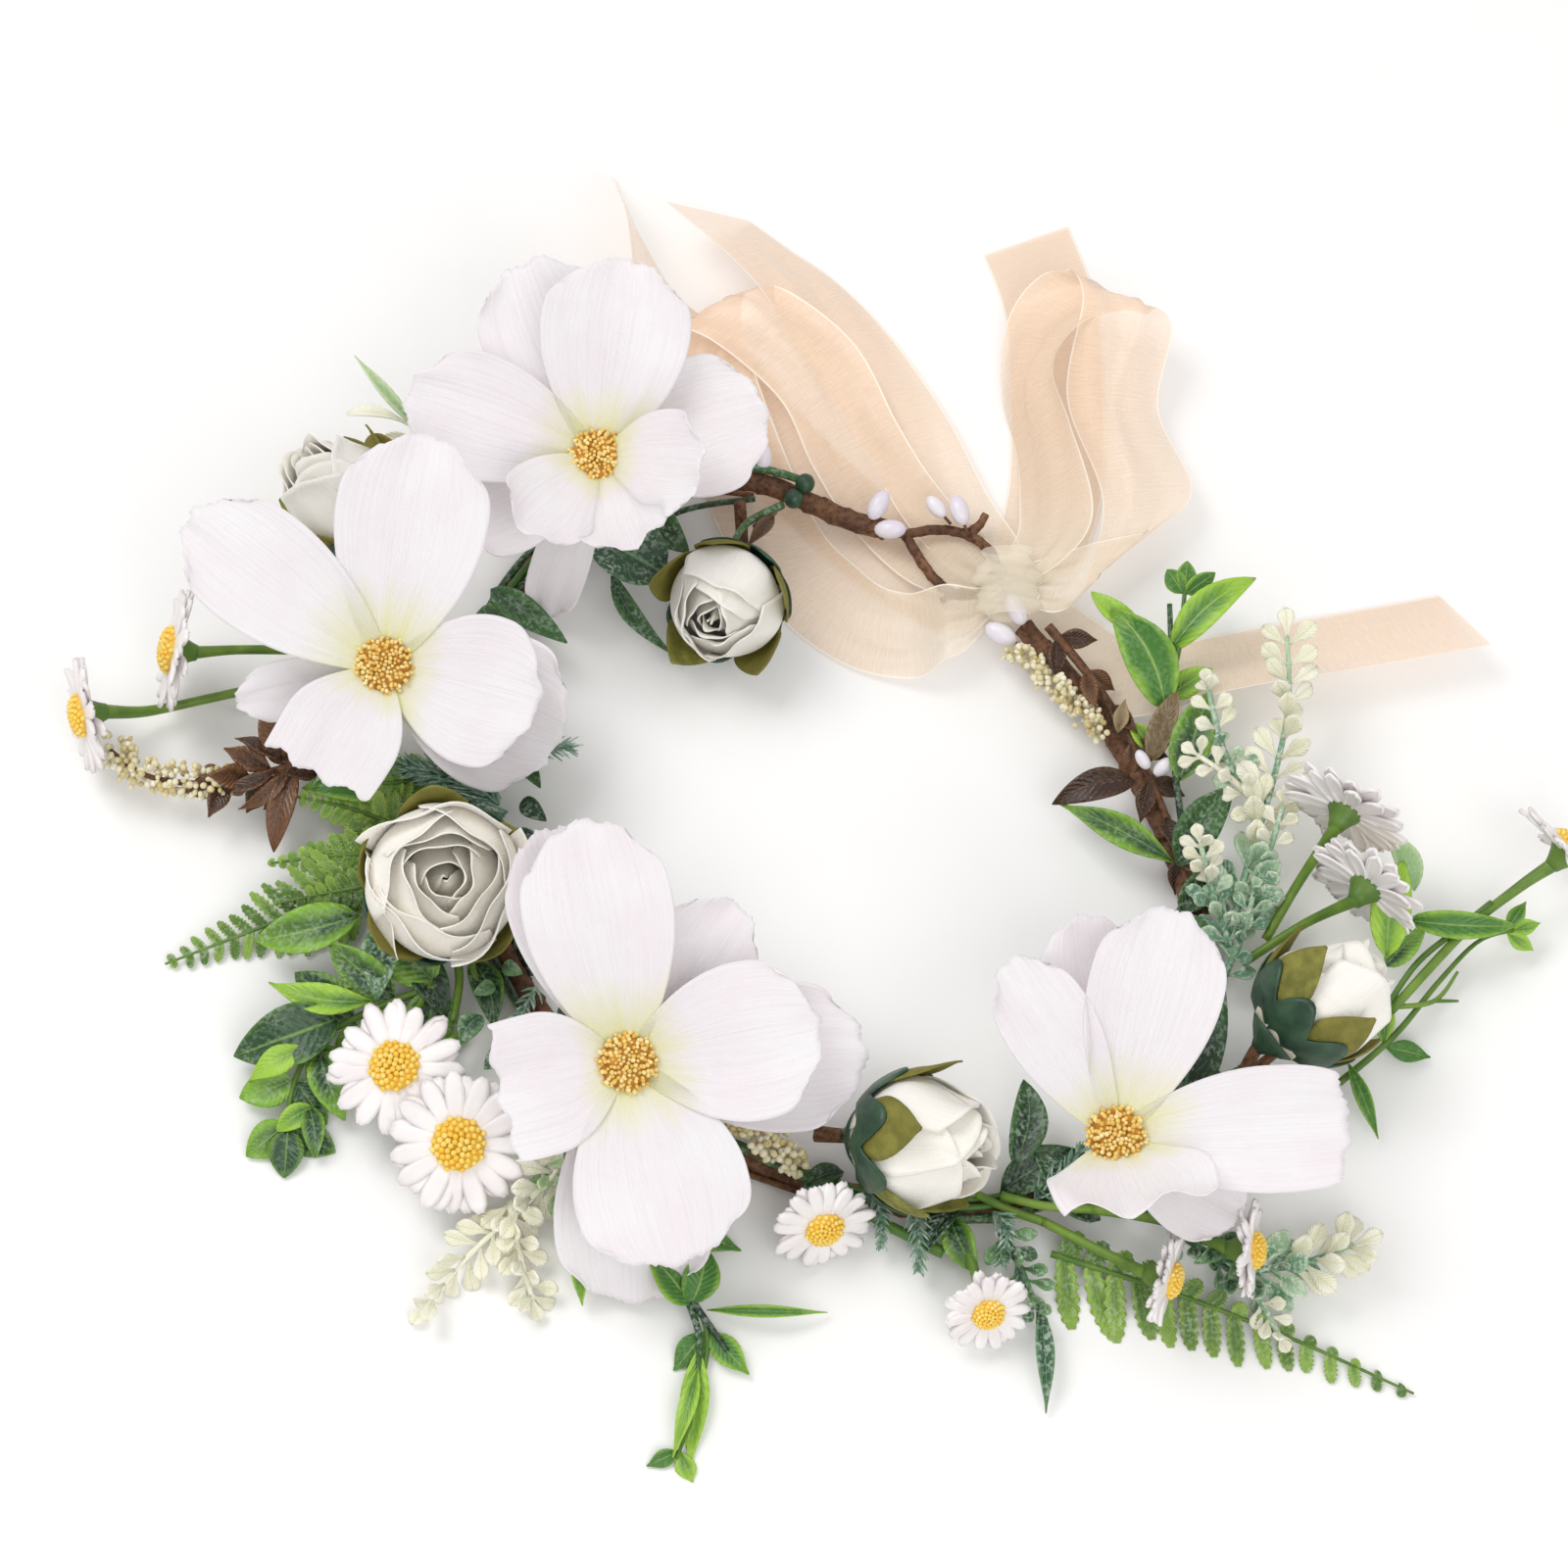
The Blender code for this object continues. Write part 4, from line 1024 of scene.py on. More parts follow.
def build_daisy(name, head, facing, ray, stem):
    """A moulded daisy: two rings of rays, a beaded button, calyx and stem."""
    head = Vector(head)
    right, up, forward = axes_of(facing)
    draw = random.Random(name)
    rays = Shape()
    for count, reach, drop in RAY_RINGS:
        start = draw.uniform(0, 1)
        for k in range(count):
            turn = start + 2 * math.pi * k / count + draw.uniform(-0.05, 0.05)
            along = around(right, up, turn)
            length = ray * reach * draw.uniform(0.92, 1.03)
            daisy_ray(rays, head - forward * drop, along, forward, length, ray * 0.27,
                      draw.uniform(-1.2, 2.2), draw.random())
    piece = rays.build(name + "_rays", [MAT["daisy"]], thickness=RAY_THICKNESS)
    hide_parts(name)
    button = Shape()
    radius = ray * 0.36
    button.lathe(head, forward, [(radius * 0.9, 0.2), (radius, 1.2), (radius * 0.7, 2.6)], 16, tone=1.0)
    for index in range(BUTTON_GRAINS):
        share = (index + 0.5) / BUTTON_GRAINS
        turn = index * GOLDEN_ANGLE
        out = around(right, up, turn)
        lift = 1.2 + 2.0 * math.cos(share * math.pi / 2)
        place = head + out * radius * math.sqrt(share) + forward * lift
        button.bead(place, forward + out * share, 0.115 * radius + 0.12, 0.3 * radius, 6, 3,
                    tone=draw.random())
    piece = button.build(name + "_button", [MAT["button"]])
    stalk = Shape()
    neck = head - forward * 5
    path = smooth_path([Vector(p) for p in stem] + [neck, head - forward * 2.5], 6)
    last = len(path) - 1
    radii = [1.2 + smoothstep(0.3, 1.0, index / last) for index in range(last + 1)]
    stalk.tube(path, radii, 12, tone=0.2)
    cup = [(2.0, -6.0), (2.5, -4.6), (3.4, -2.8), (4.4, -1.4), (4.6, -0.8), (3.0, -0.5)]
    stalk.lathe(head, forward, cup, 14, tone=0.5)
    piece = stalk.build(name + "_stalk", [MAT["stem"]])


# ---------------------------------------------------------------- leaves and sprays

def pinna_outline(u):
    """A row of small round lobes that narrows to both ends."""
    lobes = 0.62 + 0.38 * abs(math.sin(6.5 * math.pi * u))
    return lobes * math.sin(math.pi * min(u * 0.86 + 0.12, 1)) ** 0.45


def paddle_outline(u):
    """A narrow foot and a round end."""
    return (0.22 + 0.78 * smoothstep(0.15, 0.7, u)) * math.sqrt(max(1 - max((u - 0.65) / 0.36, 0) ** 2, 0))


# Width of each kind of leaf along its length, by its greatest width.
OUTLINES = {
    "pinna": pinna_outline,
    "ovate": lambda u: math.sin(math.pi * u ** 0.8) ** 0.75,
    "lance": lambda u: math.sin(math.pi * u ** 0.85) ** 1.2,
    "paddle": paddle_outline,
    "round": lambda u: math.sqrt(max(1 - (2 * u - 1) ** 2, 0.0)),
}


def leaf(shape, base, way, facing, length, width, outline, bend, fold, twist, tone, slot, rows, columns):
    """A leaf from base along way: bend is its droop in degrees, fold the depth of its V."""
    way = Vector(way).normalized()
    face = Vector(facing) - way * Vector(facing).dot(way)
    if face.length < 0.05:
        face = axes_of(way)[0]
    face = face.normalized()
    spot = Vector(base)
    grid = []
    for r in range(rows + 1):
        u = r / rows
        drop = math.radians(bend) * u
        roll = math.radians(twist) * u
        step = around(way, -face, drop)
        level = around(face, way, drop)
        side = around(step.cross(level), level, roll)
        normal = around(level, -step.cross(level), roll)
        if r:
            spot = spot + step * (length / rows)
        half = width / 2 * max(OUTLINES[outline](u), 0.05)
        row = []
        for c in range(columns + 1):
            v = 2 * c / columns - 1
            row.append(spot + side * (half * v) + normal * (abs(v) * half * fold))
        grid.append(row)
    shape.grid(grid, tone=tone, slot=slot)


# Stations of the sprays that have a CAD node.
SPRAYS = {
    "fern_left": [(-104, -3, 7), (-122, -14, 6.5), (-143, -22, 4), (-167, -31, 1.5)],
    "eucalyptus_spray": [(-96, -38, 7), (-113, -45, 7), (-127, -53, 6), (-133, -64, 4.5), (-134, -76, 3)],
    "lavender_left": [(-64, -84, 8), (-76, -97, 7), (-88, -108, 5), (-98, -120, 3)],
    "leaf_spray_front": [(-42, -98, 3.2), (-37, -114, 3), (-31, -127, 2.5), (-33, -143, 2), (-38, -158, 1.2)],
    "fern_front": [(52, -108, 4.5), (82, -118, 4), (110, -129, 2.5), (138, -142, 1.2)],
    "leafy_spray_back_right": [(82, 22, 12.5), (84, 36, 14), (88, 50, 16), (90, 66, 18)],
    "lavender_right": [(98, -28, 10), (103, -10, 14), (110, 12, 20), (114, 30, 25), (114, 47, 29)],
    "leaf_spray_far_right": [(124, -64, 5), (138, -52, 6), (150, -38, 8), (160, -28, 9), (169, -25, 9)],
    "brown_berry_spray_left": [
        (-117, 18, 11), (-134, 19, 12), (-154, 14, 12), (-172, 16, 11), (-183, 24, 10),
    ],
    "berry_twig_right": [(55, 57, 14.5), (66, 43, 12), (76, 26, 10), (84, 6, 8), (90, -18, 8)],
}


def paired_leaves(shape, path, draw, pairs, length, width, angle, outline="ovate", first=0.05, taper=0.5,
                  slots=(0,), bend=(5, 35), fold=0.25, spin=0.0, tip=True, rows=9, columns=6, pitch=0.0):
    """Leaves in pairs up a stem, each at an angle to it in degrees.

    The pairs begin at the share first of its length and shrink to taper. spin turns each pair round the
    stem, pitch lifts the leaves, bend is the range of their droop, and tip adds one at the end.
    """
    stations = even_path(path, 200)
    ways = tangents(stations)
    for pair in range(pairs):
        share = first + (0.97 - first) * pair / max(pairs - 1, 1)
        index = min(int(share * 199), 198)
        spot, way = stations[index], ways[index]
        size = 1.0 - (1.0 - taper) * pair / max(pairs - 1, 1)
        side = way.cross(FACING).normalized()
        normal = side.cross(way)
        roll = spin * pair
        for hand in (-1, 1):
            outwards = around(side, normal, roll) * hand
            lean = math.radians(angle + draw.uniform(-9, 9))
            grow = around(way, outwards, lean) + FACING * (pitch + draw.uniform(-0.12, 0.12))
            face = (FACING + outwards * draw.uniform(-0.3, 0.3)).normalized()
            leaf(shape, spot + outwards * 0.4, grow, face, length * size * draw.uniform(0.88, 1.1),
                 width * (0.35 + 0.65 * size) * draw.uniform(0.9, 1.1), outline, draw.uniform(*bend), fold,
                 draw.uniform(-15, 15), draw.random(), slots[pair * len(slots) // pairs], rows, columns)
    if tip:
        leaf(shape, stations[-2], ways[-1], FACING, length * taper * 0.9, width * (0.35 + 0.65 * taper),
             outline, 10, fold, 0, draw.random(), slots[-1], rows, columns)


def spray_piece(name, shape, materials, thickness, node=None):
    """Build one spray and let it stand for its CAD node, where it has one."""
    piece = shape.build(name, [MAT[m] for m in materials], thickness=thickness)
    if node:
        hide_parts(node)


def stem_piece(name, path, radius, material, taper=0.5):
    """A spray's own stem, thinner towards its tip."""
    shape = Shape()
    count = 30
    radii = [radius * (1 - (1 - taper) * i / (count - 1)) for i in range(count)]
    shape.tube(even_path(path, count), radii)
    piece = shape.build(name, [MAT[material]])


def build_fern(name, path, pairs, length, draw, sides=(1.0, 1.0), broad=1.0, kind="fern", node=None):
    """A fern frond of lobed pinnae: sides scales those on either hand, and broad their width."""
    shape = Shape()
    stations = even_path(path, 200)
    ways = tangents(stations)
    for pair in range(pairs):
        share = 0.04 + 0.93 * pair / (pairs - 1)
        index = int(share * 198)
        spot, way = stations[index], ways[index]
        size = 1.0 - 0.88 * (pair / (pairs - 1)) ** 1.1
        side = way.cross(FACING).normalized()
        for hand, scale in zip((1, -1), sides):
            lean = math.radians(64 + draw.uniform(-8, 8))
            grow = around(way, side * hand, lean) + FACING * draw.uniform(-0.05, 0.15)
            reach = length * size * scale * draw.uniform(0.88, 1.08)
            leaf(shape, spot, grow, FACING, reach, (1.8 + 3.0 * size) * broad, "pinna",
                 draw.uniform(5, 16), 0.2, draw.uniform(-8, 8), draw.random(), 0, 24, 4)
    spray_piece(name + "_pinnae", shape, [kind], 0.35, node)
    stem_piece(name + "_rachis", path, 0.9, "stem", 0.35)


# Fronds beside the left fern: pairs, pinna length, kind and stations.
SIDE_FRONDS = {
    "frond_upper": (9, 9, "fern_bright", [(-110, 4, 8), (-122, 8, 10), (-137, 11, 11)]),
    "frond_middle": (12, 9, "fern_bright", [(-108, -4, 9), (-124, -5, 10), (-142, -6, 7)]),
    "frond_lower": (12, 8, "fern", [(-106, -10, 8), (-122, -14, 9), (-140, -17, 7)]),
    "frond_hoop": (10, 8, "fern_bright", [(-102, 18, 8), (-112, 14, 12), (-126, 16, 12)]),
    "frond_right": (9, 9, "fern", [(98, -62, 9), (104, -74, 10), (110, -84, 6)]),
}


# Materials, slot, stem material, stem slot and thickness of each look that a spray can have.
GREEN_SPRAY = (["leaf"], "leaf_plastic", "stem", "green_stem", 0.5)
BRIGHT_SPRAY = (["leaf_bright"], "leaf_plastic", "stem", "green_stem", 0.5)
TWO_TONE_LAVENDER = (["cream", "cream_green"], "lavender_plastic", "cream_green", "lavender_plastic", 0.5)
CREAM_LAVENDER = (["cream"], "lavender_plastic", "cream", "lavender_plastic", 0.5)
BROWN_SPRAY = (["brown"], "brown_leaf", "tape", "floral_tape", 0.6)
FLORETS = {"outline": "paddle", "fold": 0.3, "rows": 6, "columns": 4}

# Each spray: CAD node, its leaves' piece, its stem's piece, look, stem radius, stations that carry leaves,
# and the habit of its leaves.
PAIRED_SPRAYS = [
    ("eucalyptus_spray", "eucalyptus_leaves", "eucalyptus_stem", GREEN_SPRAY, 1.1, 5,
     {"pairs": 6, "length": 22, "width": 12, "angle": 58, "taper": 0.6, "bend": (5, 25)}),
    ("leafy_spray_back_right", "back_right_leaves", "back_right_stem", BRIGHT_SPRAY, 1.1, 4,
     {"pairs": 2, "length": 15, "width": 7, "angle": 40, "first": 0.35, "taper": 0.6, "pitch": 0.15}),
    ("leaf_spray_far_right", "far_right_leaves", "far_right_stem", BRIGHT_SPRAY, 1.0, 5,
     {"pairs": 2, "length": 12, "width": 5, "angle": 48, "outline": "lance", "first": 0.25, "taper": 0.7}),
    ("leaf_spray_front", "front_leaves", "front_leaf_stem", BRIGHT_SPRAY, 0.9, 5,
     {"pairs": 3, "length": 20, "width": 8, "angle": 42, "outline": "lance", "first": 0.02, "taper": 0.4,
      "tip": False}),
    ("lavender_right", "lavender_right_paddles", "lavender_right_stem", TWO_TONE_LAVENDER, 1.1, 5,
     {"pairs": 16, "length": 12.5, "width": 5.6, "angle": 52, "taper": 0.7, "spin": 0.45,
      "slots": (1, 0, 0, 0, 0), "pitch": 0.2, "bend": (-15, 20), **FLORETS}),
    ("lavender_left", "lavender_left_paddles", "lavender_left_stem", CREAM_LAVENDER, 1.0, 4,
     {"pairs": 12, "length": 11, "width": 5.0, "angle": 52, "taper": 0.7, "spin": 0.45,
      "pitch": 0.15, "bend": (-15, 20), **FLORETS}),
    ("brown_berry_spray_left", "brown_leaves_left", "brown_stem_left", BROWN_SPRAY, 1.2, 3,
     {"pairs": 7, "length": 14, "width": 7, "angle": 50, "outline": "lance", "taper": 0.8, "spin": 0.9}),
    ("berry_twig_right", "brown_leaves_right", "brown_stem_right", BROWN_SPRAY, 1.3, 5,
     {"pairs": 8, "length": 11, "width": 5, "angle": 38, "outline": "lance", "taper": 0.9, "spin": 0.9}),
]


def build_foliage():
    """Every spray that has a CAD node, and the fronds beside the ferns."""
    draw = random.Random(7)
    build_fern("fern_left", SPRAYS["fern_left"], 17, 18, draw, node="fern_left")
    build_fern("fern_front", SPRAYS["fern_front"], 15, 17, draw, (1.2, 0.45), 1.3, node="fern_front")
    for name, (pairs, length, kind, path) in SIDE_FRONDS.items():
        build_fern(name, path, pairs, length, draw, kind=kind)
    for node, leaves, stem, look, radius, leafed, habit in PAIRED_SPRAYS:
        materials, slot, stem_material, stem_slot, thickness = look
        shape = Shape()
        paired_leaves(shape, SPRAYS[node][:leafed], draw, **habit)
        if node == "leaf_spray_front":
            long_tip = Vector((-33, -131, 3))
            leaf(shape, long_tip, Vector((-0.06, -1, 0)), FACING, length=29, width=7, outline="lance",
                 bend=12, fold=0.25, twist=-12, tone=0.8, slot=0, rows=14, columns=6)
        spray_piece(leaves, shape, materials, thickness, node)
        stem_piece(stem, SPRAYS[node], radius, stem_material)


# Leaves that stand on their own: kind, outline, base, tip and greatest width. They lie between the heads.
LEAVES = [
    ("leaf", "ovate", (-118, -22, 11), (-144, -27, 7), 12),
    ("leaf_frost", "ovate", (-113, -24, 8), (-113, -44, 9), 10),
    ("leaf_bright", "lance", (-114, -44, 9), (-140, -39, 9), 8),
    ("leaf", "ovate", (-122, -48, 8), (-148, -57, 5), 15),
    ("leaf_bright", "lance", (-130, -56, 9), (-144, -64, 6), 7),
    ("leaf", "ovate", (-127, -56, 6), (-120, -74, 5), 9),
    ("leaf_bright", "ovate", (-128, -70, 4), (-137, -76, 3), 6),
    ("leaf", "ovate", (-129, -70, 4), (-127, -83, 3), 6),
    ("leaf", "ovate", (-90, -32, 5), (-84, -50, 6), 8),
    ("leaf_dark", "ovate", (-104, -30, 5), (-96, -47, 5), 9),
    ("leaf_dark", "ovate", (-80, 16, 11), (-88, 17, 13), 5),
    ("leaf_dark", "ovate", (-78, 10, 11), (-72, 3, 13), 5),
    ("leaf_dark", "ovate", (-80, 2, 10), (-70, -5, 10), 5),
    ("leaf_dark", "ovate", (-82, 23, 8), (-74, 14, 9), 5),
    ("leaf_frost", "ovate", (-87, -48, 9), (-92, -56, 10), 6),
    ("leaf_frost", "ovate", (-80, -58, 9), (-86, -62, 9), 5),
    ("leaf_frost", "ovate", (-82, -35, 10), (-77, -38, 12), 4),
    ("leaf_frost", "ovate", (-76, -50, 9), (-83, -52, 11), 5),
    ("leaf_frost", "ovate", (-74, -60, 8), (-80, -67, 9), 5),
    ("leaf_frost", "ovate", (-84, -40, 9), (-89, -43, 11), 4),
    ("leaf_dark", "ovate", (-56, -70, 12), (-64, -92, 8), 11),
    ("leaf_bright", "lance", (-59, -106, 6), (-61, -121, 4), 5),
    ("leaf_bright", "ovate", (-35, -121, 5), (-45, -110, 8), 10),
    ("leaf_bright", "ovate", (-35, -121, 5), (-32, -107, 8), 9),
    ("leaf_bright", "lance", (-31, -122, 4), (-2, -122, 2), 3),
    ("leaf_bright", "lance", (-33, -136, 3.5), (-39, -158, 1.5), 4.5),
    ("leaf_dark", "ovate", (30, -96, 6), (22, -108, 6), 6),
    ("leaf", "ovate", (28, -100, 6), (34, -113, 5), 8),
    ("leaf_frost", "lance", (49, -121, 5), (50, -147, 1.5), 4.5),
    ("leaf_dark", "ovate", (43, -88, 12), (46, -66, 12), 9),
    ("leaf_dark", "ovate", (84, -74, 10), (93, -36, 20), 15),
    ("leaf_dark", "ovate", (98, -70, 8), (84, -60, 14), 8),
    ("leaf_bright", "lance", (126, -60, 8), (133, -78, 3), 4),
    ("leaf_bright", "ovate", (136, -35, 15), (141, -11, 20), 10),
    ("leaf", "ovate", (136, -36, 12), (146, -27, 14), 7),
    ("leaf_pale", "ovate", (144, -17, 15), (137, -3, 19), 7),
    ("leaf_bright", "ovate", (142, -24, 13), (169, -25, 12), 7),
    ("leaf_bright", "ovate", (86, 50, 15), (108, 68, 20), 9),
    ("leaf_bright", "ovate", (78, 56, 16), (66, 65, 18), 6),
    ("leaf_bright", "ovate", (84, 33, 15), (71, 59, 20), 13),
    ("leaf", "ovate", (87, 14, 13), (95, 37, 17), 11),
    ("leaf_bright", "ovate", (80, 24, 10), (75, 31, 11), 5),
    ("leaf_dark", "ovate", (86, -8, 10), (100, 11, 16), 11),
    ("leaf", "lance", (85, -7, 10), (57, 9, 10), 8), ("leaf_dark", "ovate", (86, -20, 9), (94, -8, 10), 8),
    ("leaf_dark", "ovate", (92, -34, 8), (84, -20, 10), 7),
    ("brown", "ovate", (76, 15, 11), (55, 9, 10), 8),
    ("brown_pale", "ovate", (80, 20, 12), (87, 37, 18), 7),
    ("brown_pale", "lance", (72, 28, 12), (74, 36, 15), 4), ("brown", "lance", (84, 0, 9), (74, -3, 9), 4),
    ("brown", "ovate", (-139, 20, 13), (-143, 34, 19), 8),
    ("brown", "ovate", (-136, 18, 12), (-141, -2, 5), 7),
    ("brown", "lance", (-137, 17, 13), (-150, 8, 9), 4.5),
    ("brown", "lance", (-140, 17, 14), (-155, 12, 12), 4),
    ("brown", "lance", (-139, 19, 14), (-151, 25, 15), 4),
    ("brown", "lance", (-133, 20, 14), (-128, 31, 16), 5),
    ("leaf_pale", "lance", (-121, 24, 14), (-135, 20, 14), 4),
    ("leaf_pale", "lance", (-124, 24, 14), (-134, 28, 14), 3.5),
    ("leaf_pale", "lance", (-120, 22, 12), (-131, 13, 13), 3.5),
    ("leaf_bright", "ovate", (-112, 12, 8), (-134, 13, 11), 8),
    ("leaf_dark", "ovate", (-88, 70, 10), (-68, 54, 11), 8),
    ("leaf", "ovate", (-90, 66, 8), (-82, 52, 10), 8),
    ("leaf_frost", "round", (-62, 84, 13), (-43, 73, 12), 18),
    ("leaf_dark", "ovate", (-48, 94, 12), (-37, 79, 13), 10),
    ("leaf_dark", "lance", (-57, 76, 10), (-40, 51, 9), 5),
    ("leaf_dark", "ovate", (-66, 92, 6), (-78, 76, 8), 8),
    ("leaf_dark", "ovate", (-98, 52, 6), (-84, 42, 8), 8),
    ("leaf_dark", "ovate", (-100, 12, 6), (-88, 0, 8), 9),
    ("leaf_dark", "ovate", (-68, -50, 6), (-58, -38, 8), 8),
    ("sepal", "ovate", (-121, 104, 24), (-110, 99, 30), 7),
    ("leaf_pale", "lance", (-107, 110, 22), (-124, 129, 28), 3.5),
    ("cream", "paddle", (-108, 111, 21), (-126, 115, 22), 4),
    ("cream", "paddle", (-106, 108, 20), (-118, 106, 22), 4),
    ("brown", "lance", (-15, 89, 14), (-22, 78, 18), 4),
    ("brown", "lance", (-20, -71, 13), (-10, -76, 13), 4),
    ("brown", "lance", (-22, -68, 13), (-8, -71, 13), 3.5),
    ("leaf_dark", "ovate", (40, -93, 6), (61, -84, 9), 10),
    ("leaf_dark", "lance", (48, -98, 7), (68, -92, 9), 6),
    ("leaf_dark", "ovate", (64, -100, 6), (46, -90, 9), 8),
    ("leaf_dark", "lance", (70, -98, 8), (84, -94, 7), 6),
    ("leaf_dark", "ovate", (84, -72, 9), (78, -52, 12), 9),
    ("leaf_dark", "ovate", (2, -88, 7), (-8, -92, 6), 6),
    ("leaf_dark", "ovate", (56, -94, 8), (48, -84, 12), 6),
    ("leaf_frost", "ovate", (97, -104, 8), (86, -112, 9), 5),
    ("leaf_frost", "ovate", (100, -106, 9), (94, -116, 8), 5),
]
LEAF_LIFT = 0.13         # how far a leaf arches above the straight line from base to tip, by its length
LEAF_THICKNESS = 0.45

# Stems that show between the heads: kind, radius at the foot and at the end, and stations.
STEMS = [
    ("stem", 1.1, 0.9, [(-96, -28, 9), (-100, -38, 7), (-104, -48, 8)]),
    ("stem", 1.1, 0.9, [(-94, -29, 9), (-93, -38, 7), (-94, -49, 8)]),
    ("stem", 1.0, 0.8, [(-92, -28, 9), (-88, -40, 7)]),
    ("stem", 1.3, 1.6, [(0, -94, 8), (12, -101, 6), (26, -108, 5)]),
    ("stem", 1.1, 1.2, [(34, -94, 8), (42, -98, 8), (50, -101, 8)]),
    ("stem", 1.1, 1.2, [(40, -95, 10), (50, -98, 11), (62, -99, 11)]),
    ("leaf_dark", 1.0, 0.7, [(-40, -112, 5), (-34, -121, 5), (-26, -132, 3)]),
    ("leaf_dark", 0.9, 0.6, [(-36, -119, 5), (-33, -128, 4), (-33, -138, 3)]),
    ("tape", 1.5, 1.2, [(98, -69, 8), (102, -64, 12), (108, -60, 16)]),
    ("tape", 1.3, 1.1, [(-5, -80, 10), (5, -82, 14)]),
    ("stem", 0.8, 0.8, [(136, -46, 10), (144, -35, 12), (155, -26, 13), (163, -20, 15)]),
    ("stem", 0.7, 0.4, [(137, -46, 10), (148, -44, 9), (154, -37, 11)]),
    ("stem", 0.5, 0.3, [(148, -44, 9), (154, -44, 9)]),
    ("leaf_dark", 0.9, 0.7, [(88, -2, 9), (86, 20, 12), (86, 40, 15), (86, 62, 17)]),
    ("stem", 1.3, 1.2, [(-112, 44, 8), (-126, 49, 10), (-139, 52, 11)]),
    ("stem", 1.3, 1.2, [(-112, 42, 7), (-127, 44, 9), (-140, 44, 9)]),
    ("stem", 0.8, 0.8, [(-99, 55, 8), (-113, 64, 11), (-130, 65, 12)]),
    ("stem", 0.8, 0.8, [(-99, 52, 8), (-112, 60, 10), (-129, 62, 11)]),
    ("leaf_dark", 1.1, 0.8, [(-13, 93, 13), (-22, 85, 18), (-26, 76, 22)]),
    ("tape", 0.9, 0.7, [(-15, 91, 13), (-20, 84, 18)]),
    ("leaf_dark", 0.8, 0.8, [(-20, 96, 11), (-40, 92, 11), (-58, 80, 10)]),
]

# Pick stems bound along the hoop: (first station, last station) as shares of its length, and the kind.
PICK_STEMS = [
    (0.18, 0.34, "tape"), (0.22, 0.42, "stem"), (0.30, 0.50, "leaf_dark"), (0.34, 0.55, "stem"),
    (0.44, 0.60, "tape"), (0.50, 0.66, "leaf_dark"), (0.56, 0.74, "stem"), (0.62, 0.80, "tape"),
    (0.68, 0.86, "leaf_dark"), (0.72, 0.90, "stem"), (0.76, 0.97, "leaf_dark"), (0.80, 0.95, "tape"),
    (0.36, 0.48, "tape"), (0.60, 0.78, "leaf_dark"),
]
PICK_OFFSET = 3.6        # from the hoop's middle to a pick stem's
PICK_SPREAD = 1.6        # how much further out a pick stem stands where it leaves the hoop

# Extra lavender spikes beside the two main ones: kinds, length and width of a paddle, pairs and stations.
LAVENDER = {
    "lavender_left_spikes": [
        (("cream",), 8.5, 4.6, 9, [(-79, -95, 6), (-77, -106, 5), (-73, -119, 3)]),
        (("leaf_pale", "cream"), 7.0, 3.2, 9, [(-72, -86, 8), (-66, -93, 7), (-60, -102, 5)]),
    ],
    "lavender_right_spikes": [
        (("cream_green", "cream"), 8.0, 4.2, 9, [(98, -30, 11), (94, -18, 15), (91, -6, 19)]),
        (("cream_green", "cream"), 7.5, 4.2, 6, [(102, 10, 18), (97, 20, 22), (94, 34, 26)]),
        (("cream",), 7.5, 4.0, 5, [(107, 4, 18), (99, 11, 21), (91, 17, 22)]),
        (("cream_green", "cream"), 7.5, 4.0, 6, [(104, -20, 12), (108, -8, 18), (112, 4, 22)]),
        (("cream_green",), 7.0, 3.8, 6, [(96, -38, 9), (101, -28, 13), (104, -18, 16)]),
    ],
    "cream_sprig_front": [
        (("cream_green", "cream", "cream"), 12.0, 5.4, 9, [(100, -113, 7), (112, -112, 9), (124, -108, 11)]),
        (("cream_green", "cream"), 7.5, 4.0, 6, [(97, -110, 6), (102, -120, 5), (106, -128, 4)]),
        (("leaf_frost",), 8.0, 3.6, 7, [(40, -104, 8), (44, -112, 8), (48, -122, 6)]),
        (("leaf_frost",), 7.0, 3.4, 6, [(82, -104, 9), (90, -110, 9), (99, -117, 7)]),
    ],
}

# Frosted feathery plumes: a stem with fine needles. (needle length, needles, stations)
PLUMES = [
    (11, 90, [(-84, 8, 12), (-95, 14, 14), (-108, 18, 14)]),
    (10, 70, [(-92, 18, 14), (-80, 22, 16), (-66, 24, 12)]),
    (8, 50, [(-94, 22, 10), (-86, 30, 13), (-80, 36, 12)]),
    (7, 50, [(48, -96, 8), (55, -90, 12), (60, -84, 14)]),
    (8, 50, [(66, -98, 7), (60, -92, 9), (52, -88, 11)]),
    (9, 70, [(-84, 10, 11), (-96, 14, 14), (-112, 18, 13)]),
    (8, 50, [(-82, 6, 12), (-90, 2, 15), (-99, 2, 16)]),
    (7, 50, [(-96, 24, 10), (-98, 12, 15), (-104, 6, 15)]),
    (5, 36, [(10, -94, 8), (11, -100, 8), (11, -107, 6)]),
    (6, 40, [(19, -97, 8), (20, -105, 8), (20, -113, 6)]),
    (6, 40, [(38, -99, 9), (41, -104, 10), (40, -112, 9)]),
    (5, 36, [(-74, -40, 8), (-77, -48, 10), (-78, -56, 9)]),
    (6, 40, [(104, -68, 9), (112, -66, 10), (120, -66, 8)]),
    (6, 36, [(90, -84, 9), (100, -78, 11), (108, -73, 12)]),
]


